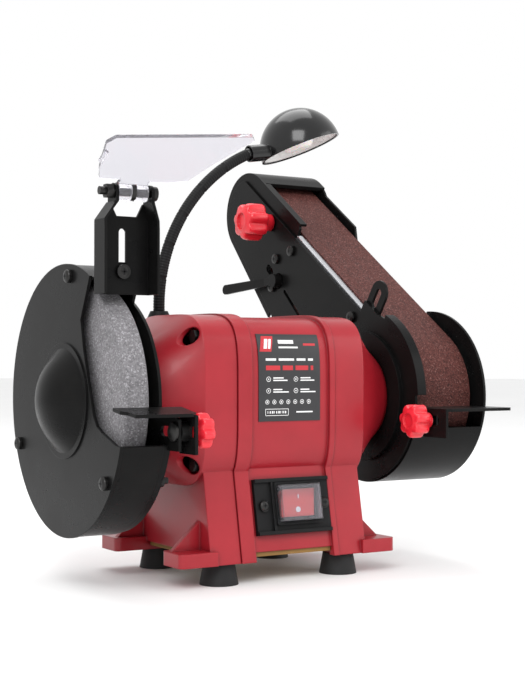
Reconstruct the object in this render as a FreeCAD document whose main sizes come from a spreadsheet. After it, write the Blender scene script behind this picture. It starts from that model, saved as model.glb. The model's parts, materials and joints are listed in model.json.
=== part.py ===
import FreeCAD, Part
import math
import os
import re
import Sketcher

from FreeCAD import Placement, Rotation, Vector

# A bench grinder with a wheel on the left end of its shaft and a belt sander on the right.
# Frame: the origin is the middle of the four feet on the bench, X runs along the shaft towards
# the belt, -Y is the operator's side and Z is up. All sizes are millimetres or degrees.
SIZES = {
    # shaft, wheel and motor
    "axis_height": 118, "shaft_radius": 6.35, "journal_radius": 7.5, "spindle_radius": 8.5,
    "shaft_left": 147, "shaft_right": 156, "running_gap": 0.03, "body_gap": 0.3,
    "wheel_radius": 75, "wheel_width": 16, "wheel_middle": 121,
    "flange_radius": 26, "flange_width": 3, "nut_flats": 19, "nut_width": 8,
    "stack_half": 22, "stator_radius": 46, "rotor_radius": 26.5, "air_gap": 0.5,
    "winding_reach": 13, "bearing_radius": 17.5, "bearing_width": 11, "bearing_end": 95,
    # housing
    "seam": 38, "seam_gap": 0.3, "band_end": 61.5, "bell_end": 98, "bell_end_radius": 31,
    "half_depth": 51.5, "half_height": 56, "wall": 3.5, "leg_side": 60, "panel_left": 27, "panel_right": 33.4,
    "leg_bottom": 14, "leg_top": 72, "leg_front": 57, "leg_waist": 46, "skirt_bottom": 20,
    "tab_end": 83, "tab_near": 33, "tab_top": 23, "gusset_top": 41, "gusset_y": 38,
    "foot_x": 46.5, "foot_y": 42.8, "foot_radius": 12.7, "foot_neck": 10.2,
    "tie_y": 40, "tie_z": 41, "tie_radius": 2.5, "pocket_radius": 6,
    "can_middle": 34, "can_radius": 13,
    # label and switch
    "label_left": -21.5, "label_width": 48, "label_height": 57, "label_low": 104, "label_thick": 0.5,
    "plate_width": 57, "plate_height": 34, "plate_low": 31, "plate_middle": 4, "plate_out": 3,
    "rocker_width": 25, "rocker_height": 21,
    "inlet_x": 20, "inlet_z": 36, "inlet_radius": 6,
    # wheel guard, left rest and eye shield
    "sheet": 2, "guard_outer": 136.2, "guard_radius": 87,
    "band_radius": 84.5, "band_right": 107, "rim_right": 104, "post_radius": 79.3,
    "opening_top": 117.5, "opening_low": 197, "step_radius": 37, "hub_radius": 25,
    "hub_step": 143.9, "hub_ball": 41, "screw_radius": 2.1,
    "rest_left_y": 90, "rest_left_z": 101.5, "table_left_z": 110.5, "bolt_radius": 3,
    "knob_radius": 11, "bracket_middle": 119, "bracket_screw_z": 198,
    "bracket_left": 137, "bracket_right": 100, "bracket_y": 50, "bracket_low": 184,
    "bracket_high": 229, "bracket_wing": 13, "hinge_y": 57, "hinge_z": 246,
    "shield_lean": 30, "shield_thick": 2.5,
    # belt unit, in its own frame: along the front run of the belt and square to it
    "run_angle": 34.7, "centre_distance": 223.4, "drum_radius": 49.8, "idler_radius": 23.5,
    "hub_start": 104, "hub_end": 142, "belt_thick": 1, "belt_width": 50, "belt_left": 105.8,
    "side_plate": 98.6,
    "outer_plate": 160, "plate_radius": 61, "outer_radius": 62.5, "back_edge": 52,
    "front_edge": 48, "hood_start": 145, "hood_edge": 59.6, "hood_radius": 33.5,
    "platen_start": 38, "platen_end": 144.5, "lug_s": 29, "lug_half": 9, "lug_top": 79,
    "dish_radius": 47, "arm_screw_circle": 26,
    "rest_right_y": 79, "rest_right_z": 103.4, "table_right_z": 110.5,
    "lever_length": 70, "tracking_s": 181.6, "tracking_n": 40.2, "tracking_knob_radius": 15,
    # lamp
    "neck_radius": 4, "neck_x": -52, "neck_y": 30, "neck_foot": 173.5, "shade_radius": 30,
    "shade_thick": 1.5,
}

doc = FreeCAD.newDocument("bench_grinder")
sheet = doc.addObject("Spreadsheet::Sheet", "Sizes")
for row, (alias, number) in enumerate(SIZES.items(), start=1):
    sheet.set("A%d" % row, alias)
    sheet.set("B%d" % row, str(number))
    sheet.setAlias("B%d" % row, alias)
doc.recompute()

NODES = []
X_AXIS = Vector(1, 0, 0)
ALONG = {
    "x": Rotation(Vector(1, 1, 1), 120),
    "y": Rotation(Vector(1, 0, 0), -90),
    "z": Rotation(),
}


def size(alias):
    """The number that a cell of the sheet holds."""
    return float(sheet.get(alias))


def formula(text):
    """A size written with cell names, as an expression of the document."""
    def cell(word):
        return "Sizes." + word.group() if word.group() in SIZES else word.group()
    return re.sub(r"[a-z][a-z0-9_]*", cell, str(text))


def bind(thing, **texts):
    """Gives an object's sizes their expressions."""
    for name, text in texts.items():
        thing.setExpression(name, formula(text))
    return thing


def seat(thing, x, y, z):
    """Places an object by expressions."""
    for axis, text in zip("xyz", (x, y, z)):
        thing.setExpression("Placement.Base." + axis, formula(text))
    return thing


def rod(along, x, y, z, radius, length):
    """A cylinder from the middle of its first end."""
    round_bar = doc.addObject("Part::Cylinder", "rod")
    round_bar.Placement = Placement(Vector(), ALONG[along])
    return seat(bind(round_bar, Radius=radius, Height=length), x, y, z)


def cone(along, x, y, z, first_radius, last_radius, length):
    taper = doc.addObject("Part::Cone", "cone")
    taper.Placement = Placement(Vector(), ALONG[along])
    return seat(bind(taper, Radius1=first_radius, Radius2=last_radius, Height=length), x, y, z)


def hexagon(along, x, y, z, flats, length):
    prism = doc.addObject("Part::Prism", "hexagon")
    prism.Polygon = 6
    prism.Placement = Placement(Vector(), ALONG[along])
    return seat(bind(prism, Circumradius="(%s) / sqrt(3)" % flats, Height=length), x, y, z)


def fuse(*things):
    joined = doc.addObject("Part::MultiFuse", "joined")
    joined.Shapes = list(things)
    joined.Refine = True
    return joined


def cut(base, *tools):
    for tool in tools:
        pair = doc.addObject("Part::Cut", "cut")
        pair.Base = base
        pair.Tool = tool
        base = pair
    return base


def group(*things):
    """Separate solids that share one node."""
    together = doc.addObject("Part::Compound", "group")
    together.Links = list(things)
    return together


def pipe(along, x, y, z, outside, inside, length):
    return cut(rod(along, x, y, z, outside, length), rod(along, x, y, z, inside, length))


def outline(body, plane, corners):
    """A fully constrained closed outline on one of the body's own origin planes."""
    sketch = body.newObject("Sketcher::SketchObject", "outline")
    support = [feature for feature in body.Origin.OriginFeatures if feature.Role == plane]
    sketch.AttachmentSupport = [(support[0], "")]
    sketch.MapMode = "FlatFace"
    count = len(corners)
    rough = [Vector(number + 1, (number + 1) ** 2, 0) for number in range(count)]
    for number in range(count):
        sketch.addGeometry(Part.LineSegment(rough[number], rough[(number + 1) % count]), False)
    for number in range(count):
        sketch.addConstraint(Sketcher.Constraint("Coincident", number, 2, (number + 1) % count, 1))
    for number, corner in enumerate(corners):
        start = rough[number]
        for kind, rough_size, text in zip(("DistanceX", "DistanceY"), (start.x, start.y), corner):
            rule = Sketcher.Constraint(kind, -1, 1, number, 1, rough_size)
            index = sketch.addConstraint(rule)
            sketch.setExpression("Constraints[%d]" % index, formula(text))
    return sketch


def turned(*corners):
    """A solid of revolution about X from (distance along X, radius) corners."""
    body = doc.addObject("PartDesign::Body", "turned")
    sketch = outline(body, "XY_Plane", corners)
    spin = body.newObject("PartDesign::Revolution", "spin")
    spin.Profile = sketch
    spin.ReferenceAxis = (sketch, ["H_Axis"])
    spin.Angle = 360
    return seat(body, 0, 0, "axis_height")


def node(name, thing):
    """Names a finished sub-part."""
    thing.Label = name
    NODES.append(thing)
    return thing


def shaped(name, shape, place=None):
    """A sub-part whose shape is built from the sheet's sizes in code."""
    feature = doc.addObject("Part::Feature", "shaped")
    feature.Shape = shape
    feature.Placement = place or Placement()
    return node(name, feature)


# ---------------------------------------------------------------- motor housing

CORNER_POWER = 4.4  # squareness of the housing's outline: 2 is an ellipse
BASE_TOP = 84
PANEL_STEP = 1.2
STRIP_RISE = 1
PLATE_END = 61
# the switch opening in the front panel: left, bottom, right and top about the plate's middle
WINDOW = (-12.5, -10.5, 18.5, 13.5)


def corner(angle, half_y, half_z, power):
    """A point of a rounded square about the shaft, from its corner power."""
    across = abs(math.cos(angle) / half_y) ** power + abs(math.sin(angle) / half_z) ** power
    radius = across ** (-1 / power)
    return radius * math.cos(angle), radius * math.sin(angle)


def ring(x, half_y, half_z, power):
    """A closed smooth wire square to the shaft."""
    points = []
    for step in range(48):
        y, z = corner(math.tau * step / 48, half_y, half_z, power)
        points.append(Vector(x, y, z + size("axis_height")))
    curve = Part.BSplineCurve()
    curve.interpolate(points, PeriodicFlag=True)
    return Part.Wire(curve.toShape())


def barrel(start, end, inset):
    """The straight rounded-square part of the housing, shrunk by the inset."""
    half_y = size("half_depth") - inset
    half_z = size("half_height") - inset
    wire = ring(start, half_y, half_z, CORNER_POWER)
    return Part.Face(wire).extrude(Vector(end - start, 0, 0))


def bell_nose(inset, end):
    """The end of a bell: from the rounded square to a round boss."""
    start = size("band_end")
    half_y = size("half_depth") - inset
    half_z = size("half_height") - inset
    tip = size("bell_end_radius") - inset
    middle = start + 0.45 * (end - start)
    sections = [
        ring(start, half_y, half_z, CORNER_POWER),
        ring(middle, (half_y + tip) / 2 + 1, (half_z + tip) / 2 + 1, 2.6),
        ring(end, tip, tip, 2),
    ]
    return Part.makeLoft(sections, True, False)


def foot_block(start, end, inset, low, high):
    """The flared base between two stations along the shaft."""
    slope = (size("leg_front") - size("leg_waist")) / (size("leg_top") - size("leg_bottom"))

    def reach(z):
        return size("leg_waist") + slope * (size("leg_top") - z) - inset
    corners = [(-reach(high), high), (-reach(low), low), (reach(low), low), (reach(high), high)]
    points = [Vector(start, y, z) for y, z in corners + corners[:1]]
    return Part.Face(Part.makePolygon(points)).extrude(Vector(end - start, 0, 0))


def bar(radius, start, end, y=0, z=None):
    height = size("axis_height") if z is None else z
    return Part.makeCylinder(radius, end - start, Vector(start, y, height), X_AXIS)


def block(low, high):
    return Part.makeBox(*(b - a for a, b in zip(low, high)), Vector(*low))


def tie_places():
    for side in (-1, 1):
        for level in (-1, 1):
            yield side * size("tie_y"), size("axis_height") + level * size("tie_z")


def tab(side):
    """The flat foot flange and its gusset on the outer side of a leg."""
    near = size("tab_near")
    far = size("leg_front") + 2
    low, high = size("leg_bottom"), size("tab_top")
    flange = block((size("leg_side") - 4, near, low), (size("tab_end"), far, high))
    upright = [edge for edge in flange.Edges
               if edge.BoundBox.ZLength > 1 and edge.BoundBox.XMin > size("tab_end") - 1]
    flange = flange.makeFillet(4, upright)
    middle = size("gusset_y")
    corners = [(size("leg_side") - 3, high - 1), (size("tab_end") - 2, high - 1),
               (size("leg_side") - 3, size("gusset_top") + 3)]
    points = [Vector(x, middle, z) for x, z in corners + corners[:1]]
    gusset = Part.Face(Part.makePolygon(points)).extrude(Vector(0, 4, 0))
    both = flange.fuse(gusset)
    return both if side > 0 else both.mirror(Vector(), Vector(0, 1, 0))


def bell_shape():
    """The bell on the belt side; the one on the wheel side is its mirror image."""
    wall = size("wall")
    seam = size("seam")
    end = size("bell_end")
    outside = barrel(seam, size("band_end"), 0).fuse(bell_nose(0, end))
    outside = outside.fuse(foot_block(seam, size("leg_side"), 0, size("leg_bottom"), BASE_TOP))
    outside = outside.fuse([tab(-1), tab(1)])
    hollow = barrel(seam, size("band_end"), wall).fuse(bell_nose(wall, end - wall))
    bosses = [bar(size("bearing_radius") + 4, size("bearing_end") - 15, end)]
    bosses += [bar(9, seam, size("band_end"), y, z) for y, z in tie_places()]
    hollow = hollow.cut(bosses)
    base = foot_block(seam, size("leg_side") - wall, wall, size("leg_bottom") + wall, BASE_TOP - 8)
    base = base.cut(barrel(seam, size("band_end"), 0))
    under = block((seam - 1, -size("tab_near"), 0),
                  (size("leg_side") + 1, size("tab_near"), size("skirt_bottom")))
    pockets = [bar(size("pocket_radius"), PLATE_END, end + 3, y, z) for y, z in tie_places()]
    holes = [bar(size("tie_radius") + 0.1, seam - 1, PLATE_END + 1, y, z) for y, z in tie_places()]
    seat_hole = bar(size("bearing_radius"), size("bearing_end") - size("bearing_width") - 5,
                    size("bearing_end"))
    shaft_hole = bar(size("journal_radius") + 1.5, seam, end + 1)
    shape = outside.cut([hollow, base, under, seat_hole, shaft_hole] + pockets + holes)
    for side in (-1, 1):
        at = Vector(size("foot_x"), side * size("foot_y"), size("leg_bottom") - 1)
        shape = shape.cut(Part.makeCylinder(2.2, 10, at))
    for turn in range(3):
        angle = math.radians(90 + 120 * turn)
        radius = size("arm_screw_circle")
        shape = shape.cut(bar(2.1, end - 9, end + 1, radius * math.cos(angle),
                              size("axis_height") + radius * math.sin(angle)))
    return shape.removeSplitter()


def center_shape():
    """The middle of the housing: stator seat, recessed front panel and open base."""
    wall = size("wall")
    seam = size("seam")
    edge = seam - size("seam_gap")
    left, right = -size("panel_left"), size("panel_right")
    strips = []
    for start, end in ((-edge, left), (right, edge)):
        strips.append(barrel(start, end, -STRIP_RISE))
        strips.append(foot_block(start, end, -STRIP_RISE, size("leg_bottom"), BASE_TOP))
    panel = barrel(left, right, PANEL_STEP)
    panel = panel.fuse(foot_block(left, right, PANEL_STEP, size("skirt_bottom"), BASE_TOP))
    spigot = barrel(-seam, seam, wall - 1).fuse(
        foot_block(-seam, seam, wall - 1, size("skirt_bottom"), BASE_TOP - 2))
    shape = spigot.fuse(strips + [panel])
    bore = bar(size("stator_radius"), -seam - 1, seam + 1)
    base = foot_block(-seam - 1, seam + 1, wall + 1, size("leg_bottom") - 1, BASE_TOP - 8)
    base = base.cut(barrel(-seam - 1, seam + 1, -1))
    under = block((left, -80, 0), (right, 80, size("skirt_bottom")))
    side_under = block((-seam - 1, -size("tab_near"), 0),
                       (seam + 1, size("tab_near"), size("skirt_bottom")))
    holes = [bar(size("tie_radius") + 0.1, -seam - 1, seam + 1, y, z) for y, z in tie_places()]
    window = on_front(block((WINDOW[0], -3, WINDOW[1]), (WINDOW[2], 12, WINDOW[3])))
    screws = [on_front(Part.makeCylinder(1.7, 20, Vector(x, -10, 0), Vector(0, 1, 0)))
              for x in switch_screw_places()]
    inlet = Part.makeCylinder(size("inlet_radius"), 20, Vector(size("inlet_x"), 40,
                                                              size("inlet_z")), Vector(0, 1, 0))
    return shape.cut([bore, base, under, side_under, window, inlet] + screws + holes).removeSplitter()


def switch_screw_places():
    """The two switch screws, along X from the plate's middle."""
    half = size("plate_width") / 2
    return -half + 6, half - 4.2


def on_front(shape):
    """Carries a shape from the upright frame of the switch plate onto the flared front."""
    lean = math.degrees(math.atan2(size("leg_front") - size("leg_waist"),
                                   size("leg_top") - size("leg_bottom")))
    middle = size("plate_low") + size("plate_height") / 2
    slope = math.tan(math.radians(lean))
    y = -size("leg_waist") - slope * (size("leg_top") - middle) + PANEL_STEP
    shape.Placement = Placement(Vector(size("plate_middle"), y, middle), Rotation(X_AXIS, -lean))
    return shape


right_bell = bell_shape()
shaped("right_bell", right_bell)
shaped("left_bell", right_bell.mirror(Vector(), X_AXIS))
shaped("center_housing", center_shape())


def base_cover():
    """The board that closes the base, with a saddle for the capacitor."""
    low, high = size("skirt_bottom") - 3, size("skirt_bottom")
    left, right = -size("panel_left") + 0.5, size("panel_right") - 0.4
    reach = size("tab_near") - 0.5
    cover = block((-57.5, -reach, low), (57.5, reach, high))
    cover = cover.fuse(block((left, -53.5, low), (right, 53.5, high)))
    middle, radius = size("can_middle"), size("can_radius")
    saddle = block((-24, -radius - 1, high), (0, radius + 1, middle - 7))
    saddle = saddle.cut(bar(radius, -25, 1, 0, middle))
    return cover.fuse(saddle).removeSplitter()


shaped("base_cover", base_cover())
node("run_capacitor", rod("x", -30, 0, "can_middle", "can_radius", 52))


def feet():
    places = [(x, y) for x in ("-foot_x", "foot_x") for y in ("-foot_y", "foot_y")]
    pads = []
    screws = []
    for x, y in places:
        pad = cone("z", x, y, 0, "foot_radius", "foot_neck", "leg_bottom")
        pads.append(cut(pad, rod("z", x, y, -1, 4.5, 5), rod("z", x, y, -1, 2.2, 20)))
        screws.append(fuse(rod("z", x, y, 1, 4, 3), rod("z", x, y, 3, 2, 18)))
    node("rubber_feet", group(*pads))
    node("foot_screws", group(*screws))


def tie_rods():
    rods = []
    for y, z in tie_places():
        stem = rod("x", -PLATE_END, y, z, "tie_radius", 2 * PLATE_END)
        head = hexagon("x", -PLATE_END - 4, y, z, 8, 4)
        nut = hexagon("x", PLATE_END, y, z, 8, 4)
        rods.append(fuse(stem, head, nut))
    node("tie_screws", group(*rods))


feet()
tie_rods()

# ---------------------------------------------------------------- motor and shaft

node("motor_shaft", turned(
    ("-shaft_left", 0), ("-shaft_left", "shaft_radius"),
    ("-wheel_middle+wheel_width/2+flange_width", "shaft_radius"),
    ("-wheel_middle+wheel_width/2+flange_width", "journal_radius"),
    ("-bearing_end+bearing_width", "journal_radius"),
    ("-bearing_end+bearing_width", "spindle_radius"),
    ("bearing_end-bearing_width", "spindle_radius"),
    ("bearing_end-bearing_width", "journal_radius"),
    ("hub_start", "journal_radius"), ("hub_start", "shaft_radius"),
    ("shaft_right", "shaft_radius"), ("shaft_right", 0)))
node("rotor_core", turned(
    ("-stack_half-4", "spindle_radius"), ("-stack_half-4", "rotor_radius-4"),
    ("-stack_half", "rotor_radius"), ("stack_half", "rotor_radius"),
    ("stack_half+4", "rotor_radius-4"), ("stack_half+4", "spindle_radius")))
node("stator_core", turned(
    ("-stack_half", "rotor_radius+air_gap"), ("-stack_half", "stator_radius"),
    ("stack_half", "stator_radius"), ("stack_half", "rotor_radius+air_gap")))


def windings():
    ends = []
    for side in ("", "-"):
        ends.append(turned(
            (side + "stack_half", "rotor_radius+3"), (side + "stack_half", "stator_radius-3"),
            (side + "(stack_half+winding_reach-4)", "stator_radius-3"),
            (side + "(stack_half+winding_reach)", "stator_radius-6"),
            (side + "(stack_half+winding_reach)", "rotor_radius+6"),
            (side + "(stack_half+winding_reach-4)", "rotor_radius+3")))
    node("stator_windings", group(*ends))


def bearings():
    both = []
    for start in ("-bearing_end", "bearing_end-bearing_width"):
        middle = pipe("x", start, 0, "axis_height", "bearing_radius",
                      "journal_radius+running_gap", "bearing_width")
        both.append(middle)
    node("bearings", group(*both))


windings()
bearings()
node("grinding_wheel", turned(
    ("-wheel_middle-wheel_width/2", "shaft_radius"),
    ("-wheel_middle-wheel_width/2", "wheel_radius-1"),
    ("-wheel_middle-wheel_width/2+1", "wheel_radius"),
    ("-wheel_middle+wheel_width/2-1", "wheel_radius"),
    ("-wheel_middle+wheel_width/2", "wheel_radius-1"),
    ("-wheel_middle+wheel_width/2", "shaft_radius")))


def wheel_clamp():
    flanges = []
    for face, out in (("-wheel_middle-wheel_width/2", "-"), ("-wheel_middle+wheel_width/2", "+")):
        flanges.append(turned(
            (face, "shaft_radius"), (face, "flange_radius"),
            (face + out + "flange_width/2", "flange_radius"),
            (face + out + "flange_width", "flange_radius-4"),
            (face + out + "flange_width", "shaft_radius")))
    node("wheel_flanges", group(*flanges))
    left = "-wheel_middle-wheel_width/2-flange_width-nut_width"
    wheel_nut = cut(hexagon("x", left, 0, "axis_height", "nut_flats", "nut_width"),
                    rod("x", left, 0, "axis_height", "shaft_radius", "nut_width"))
    drum_nut = cut(hexagon("x", "hub_end", 0, "axis_height", "nut_flats", "nut_width"),
                   rod("x", "hub_end", 0, "axis_height", "shaft_radius", "nut_width"))
    node("arbor_nuts", group(wheel_nut, drum_nut))


wheel_clamp()

# ---------------------------------------------------------------- label and switch


def switch_parts():
    """The switch plate with its ribs and bezel, the rocker, its case, cover and two screws."""
    left, low, right, high = WINDOW
    out = size("plate_out")
    half = size("plate_width") / 2
    tall = size("plate_height") / 2
    plate = block((-half, -out, -tall), (half, 0, tall))
    for end in (-tall - 1.2, tall - 1.2):
        plate = plate.fuse(block((-half, -out - 1.8, end), (half, 0, end + 2.4)))
    plate = plate.fuse(block((-half + 12, -out - 1.5, -tall), (-half + 14, 0, tall)))
    bezel = block((left - 2, -out - 2.5, low - 2), (right + 2, 0, high + 2))
    bezel = bezel.makeFillet(1.5, [edge for edge in bezel.Edges if edge.BoundBox.YLength > 2])
    plate = plate.fuse(bezel)
    plate = plate.cut(block((left, -20, low), (right, 5, high)))
    for x in switch_screw_places():
        plate = plate.cut(Part.makeCylinder(2, 20, Vector(x, -10, 0), Vector(0, 1, 0)))
    shaped("switch_plate", plate.removeSplitter(), on_front(plate.copy()).Placement)
    middle = (left + right) / 2
    body = block((left + 0.2, -out, low + 0.2), (right - 0.2, 14, high - 0.2))
    cavity = block((left + 2, -out - 1, low + 1.7), (right - 2, 6, high - 1.7))
    level = (low + high) / 2
    body = body.cut(cavity).fuse(bar(1.45, left + 1, right - 1, 0, level))
    shaped("switch_body", body.removeSplitter(), on_front(body.copy()).Placement)
    wide = size("rocker_width")
    tall_half = size("rocker_height") / 2 - 1.6
    start = middle - wide / 2
    profile = [(-3.4, -tall_half), (-4.6, 0), (-6.6, tall_half), (0.5, tall_half * 0.8),
               (3.2, 0), (0.5, -tall_half * 0.8)]
    points = [Vector(start, y, level + z) for y, z in profile + profile[:1]]
    rocker = Part.Face(Part.makePolygon(points)).extrude(Vector(wide, 0, 0))
    rocker = rocker.cut(bar(1.5, start - 1, start + wide + 1, 0, level))
    shaped("switch_rocker", rocker, on_front(rocker.copy()).Placement)
    shell = block((left + 0.2, -out - 7, low + 0.2), (right - 0.2, -out, high - 0.2))
    space = block((left + 1, -out - 6.2, low + 1), (right - 1, 0, high - 1))
    shaped("switch_cover", shell.cut(space), on_front(shell.copy()).Placement)
    screws = []
    for x in switch_screw_places():
        head = Part.makeCylinder(3.2, 1.6, Vector(x, -out - 1.6, 0), Vector(0, 1, 0))
        stem = Part.makeCylinder(1.6, 9, Vector(x, -out, 0), Vector(0, 1, 0))
        screws.append(head.fuse(stem))
    both = Part.makeCompound(screws)
    shaped("switch_screws", both, on_front(both.copy()).Placement)


switch_parts()
label_left, label_right = size("label_left"), size("label_left") + size("label_width")
label = barrel(label_left, label_right, PANEL_STEP - size("label_thick"))
label = label.cut(barrel(label_left - 1, label_right + 1, PANEL_STEP))
label = label.common(block((label_left, -60, size("label_low")),
                           (label_right, 0, size("label_low") + size("label_height"))))
shaped("rating_label", label)
gland = fuse(rod("y", "inlet_x", 51.5, "inlet_z", "inlet_radius", 10),
             rod("y", "inlet_x", 57.2, "inlet_z", "inlet_radius+3", 8))
node("cord_inlet", cut(gland, rod("y", "inlet_x", 40, "inlet_z", 3.5, 40)))

# ---------------------------------------------------------------- wheel guard


def plate_yz(x, thick, corners):
    """A sheet square to the shaft from world (y, z) corners."""
    points = [Vector(x, y, z) for y, z in list(corners) + [corners[0]]]
    return Part.Face(Part.makePolygon(points)).extrude(Vector(thick, 0, 0))


def slot_x(x, end, radius, first, last):
    """A round-ended slot square to X, between two (y, z) places."""
    (y1, z1), (y2, z2) = first, last
    length = math.hypot(y2 - y1, z2 - z1)
    out_y, out_z = -(z2 - z1) / length * radius, (y2 - y1) / length * radius
    corners = [(y1 + out_y, z1 + out_z), (y2 + out_y, z2 + out_z),
               (y2 - out_y, z2 - out_z), (y1 - out_y, z1 - out_z)]
    return plate_yz(x, end - x, corners).fuse([bar(radius, x, end, y1, z1),
                                               bar(radius, x, end, y2, z2)])


def round_spots(radius, angles):
    """Places on a circle about the shaft, by angle from +Y towards +Z."""
    for angle in angles:
        turn = math.radians(angle)
        yield radius * math.cos(turn), size("axis_height") + radius * math.sin(turn)


def arc_ring(outside, inside, start, width, first, last):
    """Part of a ring about the shaft between two angles from +Y towards +Z."""
    level = size("axis_height")
    full = bar(outside, start, start + width).cut(bar(inside, start - 1, start + width + 1))
    reach = outside * 2
    turn = last - first
    steps = max(2, math.ceil(turn / 60) + 1)
    angles = [math.radians(first + turn * number / (steps - 1)) for number in range(steps)]
    corners = [(0, level)] + [(reach * math.cos(a), level + reach * math.sin(a)) for a in angles]
    return full.common(plate_yz(start - 1, width + 2, corners))


# the front edge of the side cover, from the top of the opening down to the lower lip
COVER_EDGE = [(-42.7, 200.7), (-39.8, 196), (-26, 169), (-30.4, 150), (-35.7, 134.7),
              (-44.6, 110.5), (-50.4, 103.5), (-57.6, 100.2), (-77, 93.5), (-90, 92)]
GUARD_SCREWS = (97, 217, 337)


def hub_dome(shift):
    """The stepped boss over the shaft end; shifted inwards it is its own hollow."""
    outer = size("guard_outer") - shift
    plate = size("guard_outer") - size("sheet")
    thin = shift
    level = size("axis_height")
    ring_step = bar(size("step_radius") - thin, -outer - 1, -plate)
    slope = Part.makeCone(size("hub_radius") - thin, size("hub_radius") + 9.5 - thin,
                          size("hub_step") - size("guard_outer"),
                          Vector(-size("hub_step") + shift, 0, level), X_AXIS)
    middle = -size("hub_step") + math.sqrt(size("hub_ball") ** 2 - size("hub_radius") ** 2)
    cap = Part.makeSphere(size("hub_ball") - shift, Vector(middle, 0, level))
    cap = cap.common(bar(size("hub_radius") - thin, -160, -outer))
    return ring_step.fuse([slope, cap]).removeSplitter()


def cover_shape():
    """The dished side cover, open at the front where the wheel is used."""
    outer = size("guard_outer")
    thick = size("sheet")
    disc = bar(size("guard_radius"), -outer, -outer + thick)
    front = [(-120, 200.7)] + COVER_EDGE + [(-120, 92)]
    shape = disc.fuse(hub_dome(0)).cut(plate_yz(-outer - 20, 30, front))
    shape = shape.cut(hub_dome(thick))
    shape = shape.cut(bar(size("step_radius") - thick, -outer - 0.5, -outer + thick + 1)
                      .cut(bar(size("hub_radius") + 8, -outer - 1, -outer + thick + 2)))
    for y, z in round_spots(size("post_radius"), GUARD_SCREWS):
        shape = shape.cut(bar(size("screw_radius") + 0.2, -outer - 1, -outer + 3, y, z))
    return shape.removeSplitter()


def guard_shape():
    """The band round the wheel, its inner plate, the rest's lug and the shield's tab."""
    thick = size("sheet")
    start = -size("guard_outer") + thick
    groove = -size("band_right")
    inner = -size("rim_right")
    low, high = size("opening_low"), size("opening_top") + 360
    band = size("band_radius")
    left, right = -size("bracket_middle") - 9, -size("bracket_middle") + 9
    shape = arc_ring(band + thick, band, start, groove - start, low, high)
    shape = shape.fuse([
        arc_ring(band + thick - 1, band - 1, groove, inner - groove, low, high),
        bar(size("wheel_radius") - 5, inner, inner + thick),
        arc_ring(band + 1, size("wheel_radius") - 6, inner, thick, low, high),
        bar(30, inner + thick, -size("bell_end")),
        plate_yz(inner, thick, [(-95, 90), (-95, 109), (-92, 110), (-60, 110), (-60, 90)]),
        block((left, -48, 186), (right, -46, size("bracket_screw_z") + 6)),
        block((left, -47, 192.5), (right, -38, 194.5)),
    ])
    slot = slot_x(inner - 1, inner + 4, size("bolt_radius") + 0.1,
                  (-size("rest_left_y") - 1, size("rest_left_z")), (-75, size("rest_left_z")))
    tab_hole = Vector(-size("bracket_middle"), -50, size("bracket_screw_z"))
    holes = [slot, bar(12, inner - 1, -size("bell_end") + 1),
             Part.makeCylinder(2.1, 8, tab_hole, Vector(0, 1, 0))]
    holes += [bar(size("screw_radius") + 0.2, inner - 1, inner + 3, y, z)
              for y, z in round_spots(size("post_radius"), GUARD_SCREWS)]
    holes += [bar(2.3, inner - 1, -size("bell_end") + 1, y, z)
              for y, z in round_spots(size("arm_screw_circle"), (90, 210, 330))]
    return shape.cut(holes).removeSplitter()


def guard_fasteners():
    outer = size("guard_outer")
    end = -size("rim_right") + size("sheet")
    parts = []
    for y, z in round_spots(size("post_radius"), GUARD_SCREWS):
        head = bar(4.2, -outer - 2.8, -outer, y, z)
        head = head.makeFillet(1.2, [edge for edge in head.Edges
                                     if edge.BoundBox.XMax < -outer - 2.7])
        parts.append(head.fuse(bar(size("screw_radius"), -outer, end + 7, y, z)))
        parts.append(bar(4, end, end + 3.5, y, z).cut(bar(size("screw_radius"), end, end + 4,
                                                          y, z)))
    shaped("guard_screws", Part.makeCompound(parts))


shaped("guard_cover", cover_shape())
shaped("wheel_guard", guard_shape())
guard_fasteners()


def star(radius, neck, length, lobes=6):
    """A star grip along -X from the origin: a fluted head on a round neck."""
    head = bar(radius, -length, -length * 0.3, 0, 0)
    flutes = []
    for number in range(lobes):
        angle = math.tau * (number + 0.5) / lobes
        flutes.append(bar(radius * 0.3, -length - 1, -length * 0.3 + 1,
                          radius * 1.12 * math.cos(angle), radius * 1.12 * math.sin(angle)))
    head = head.cut(flutes)
    neck_part = Part.makeCone(neck, neck * 1.25, length * 0.32, Vector(0, 0, 0), Vector(-1, 0, 0))
    return head.fuse(neck_part).removeSplitter()


def bolt_x(head_x, end_x, y, z):
    """A carriage bolt along X with a domed head and a square neck."""
    radius = size("bolt_radius")
    toward = 1 if end_x > head_x else -1
    dome = Part.makeSphere(9, Vector(head_x + toward * 5.5, y, z))
    cap = dome.common(bar(5.8, min(head_x, head_x - toward * 4), max(head_x, head_x - toward * 4),
                          y, z))
    stem = bar(radius, min(head_x, end_x), max(head_x, end_x), y, z)
    return cap.fuse(stem)


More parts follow.
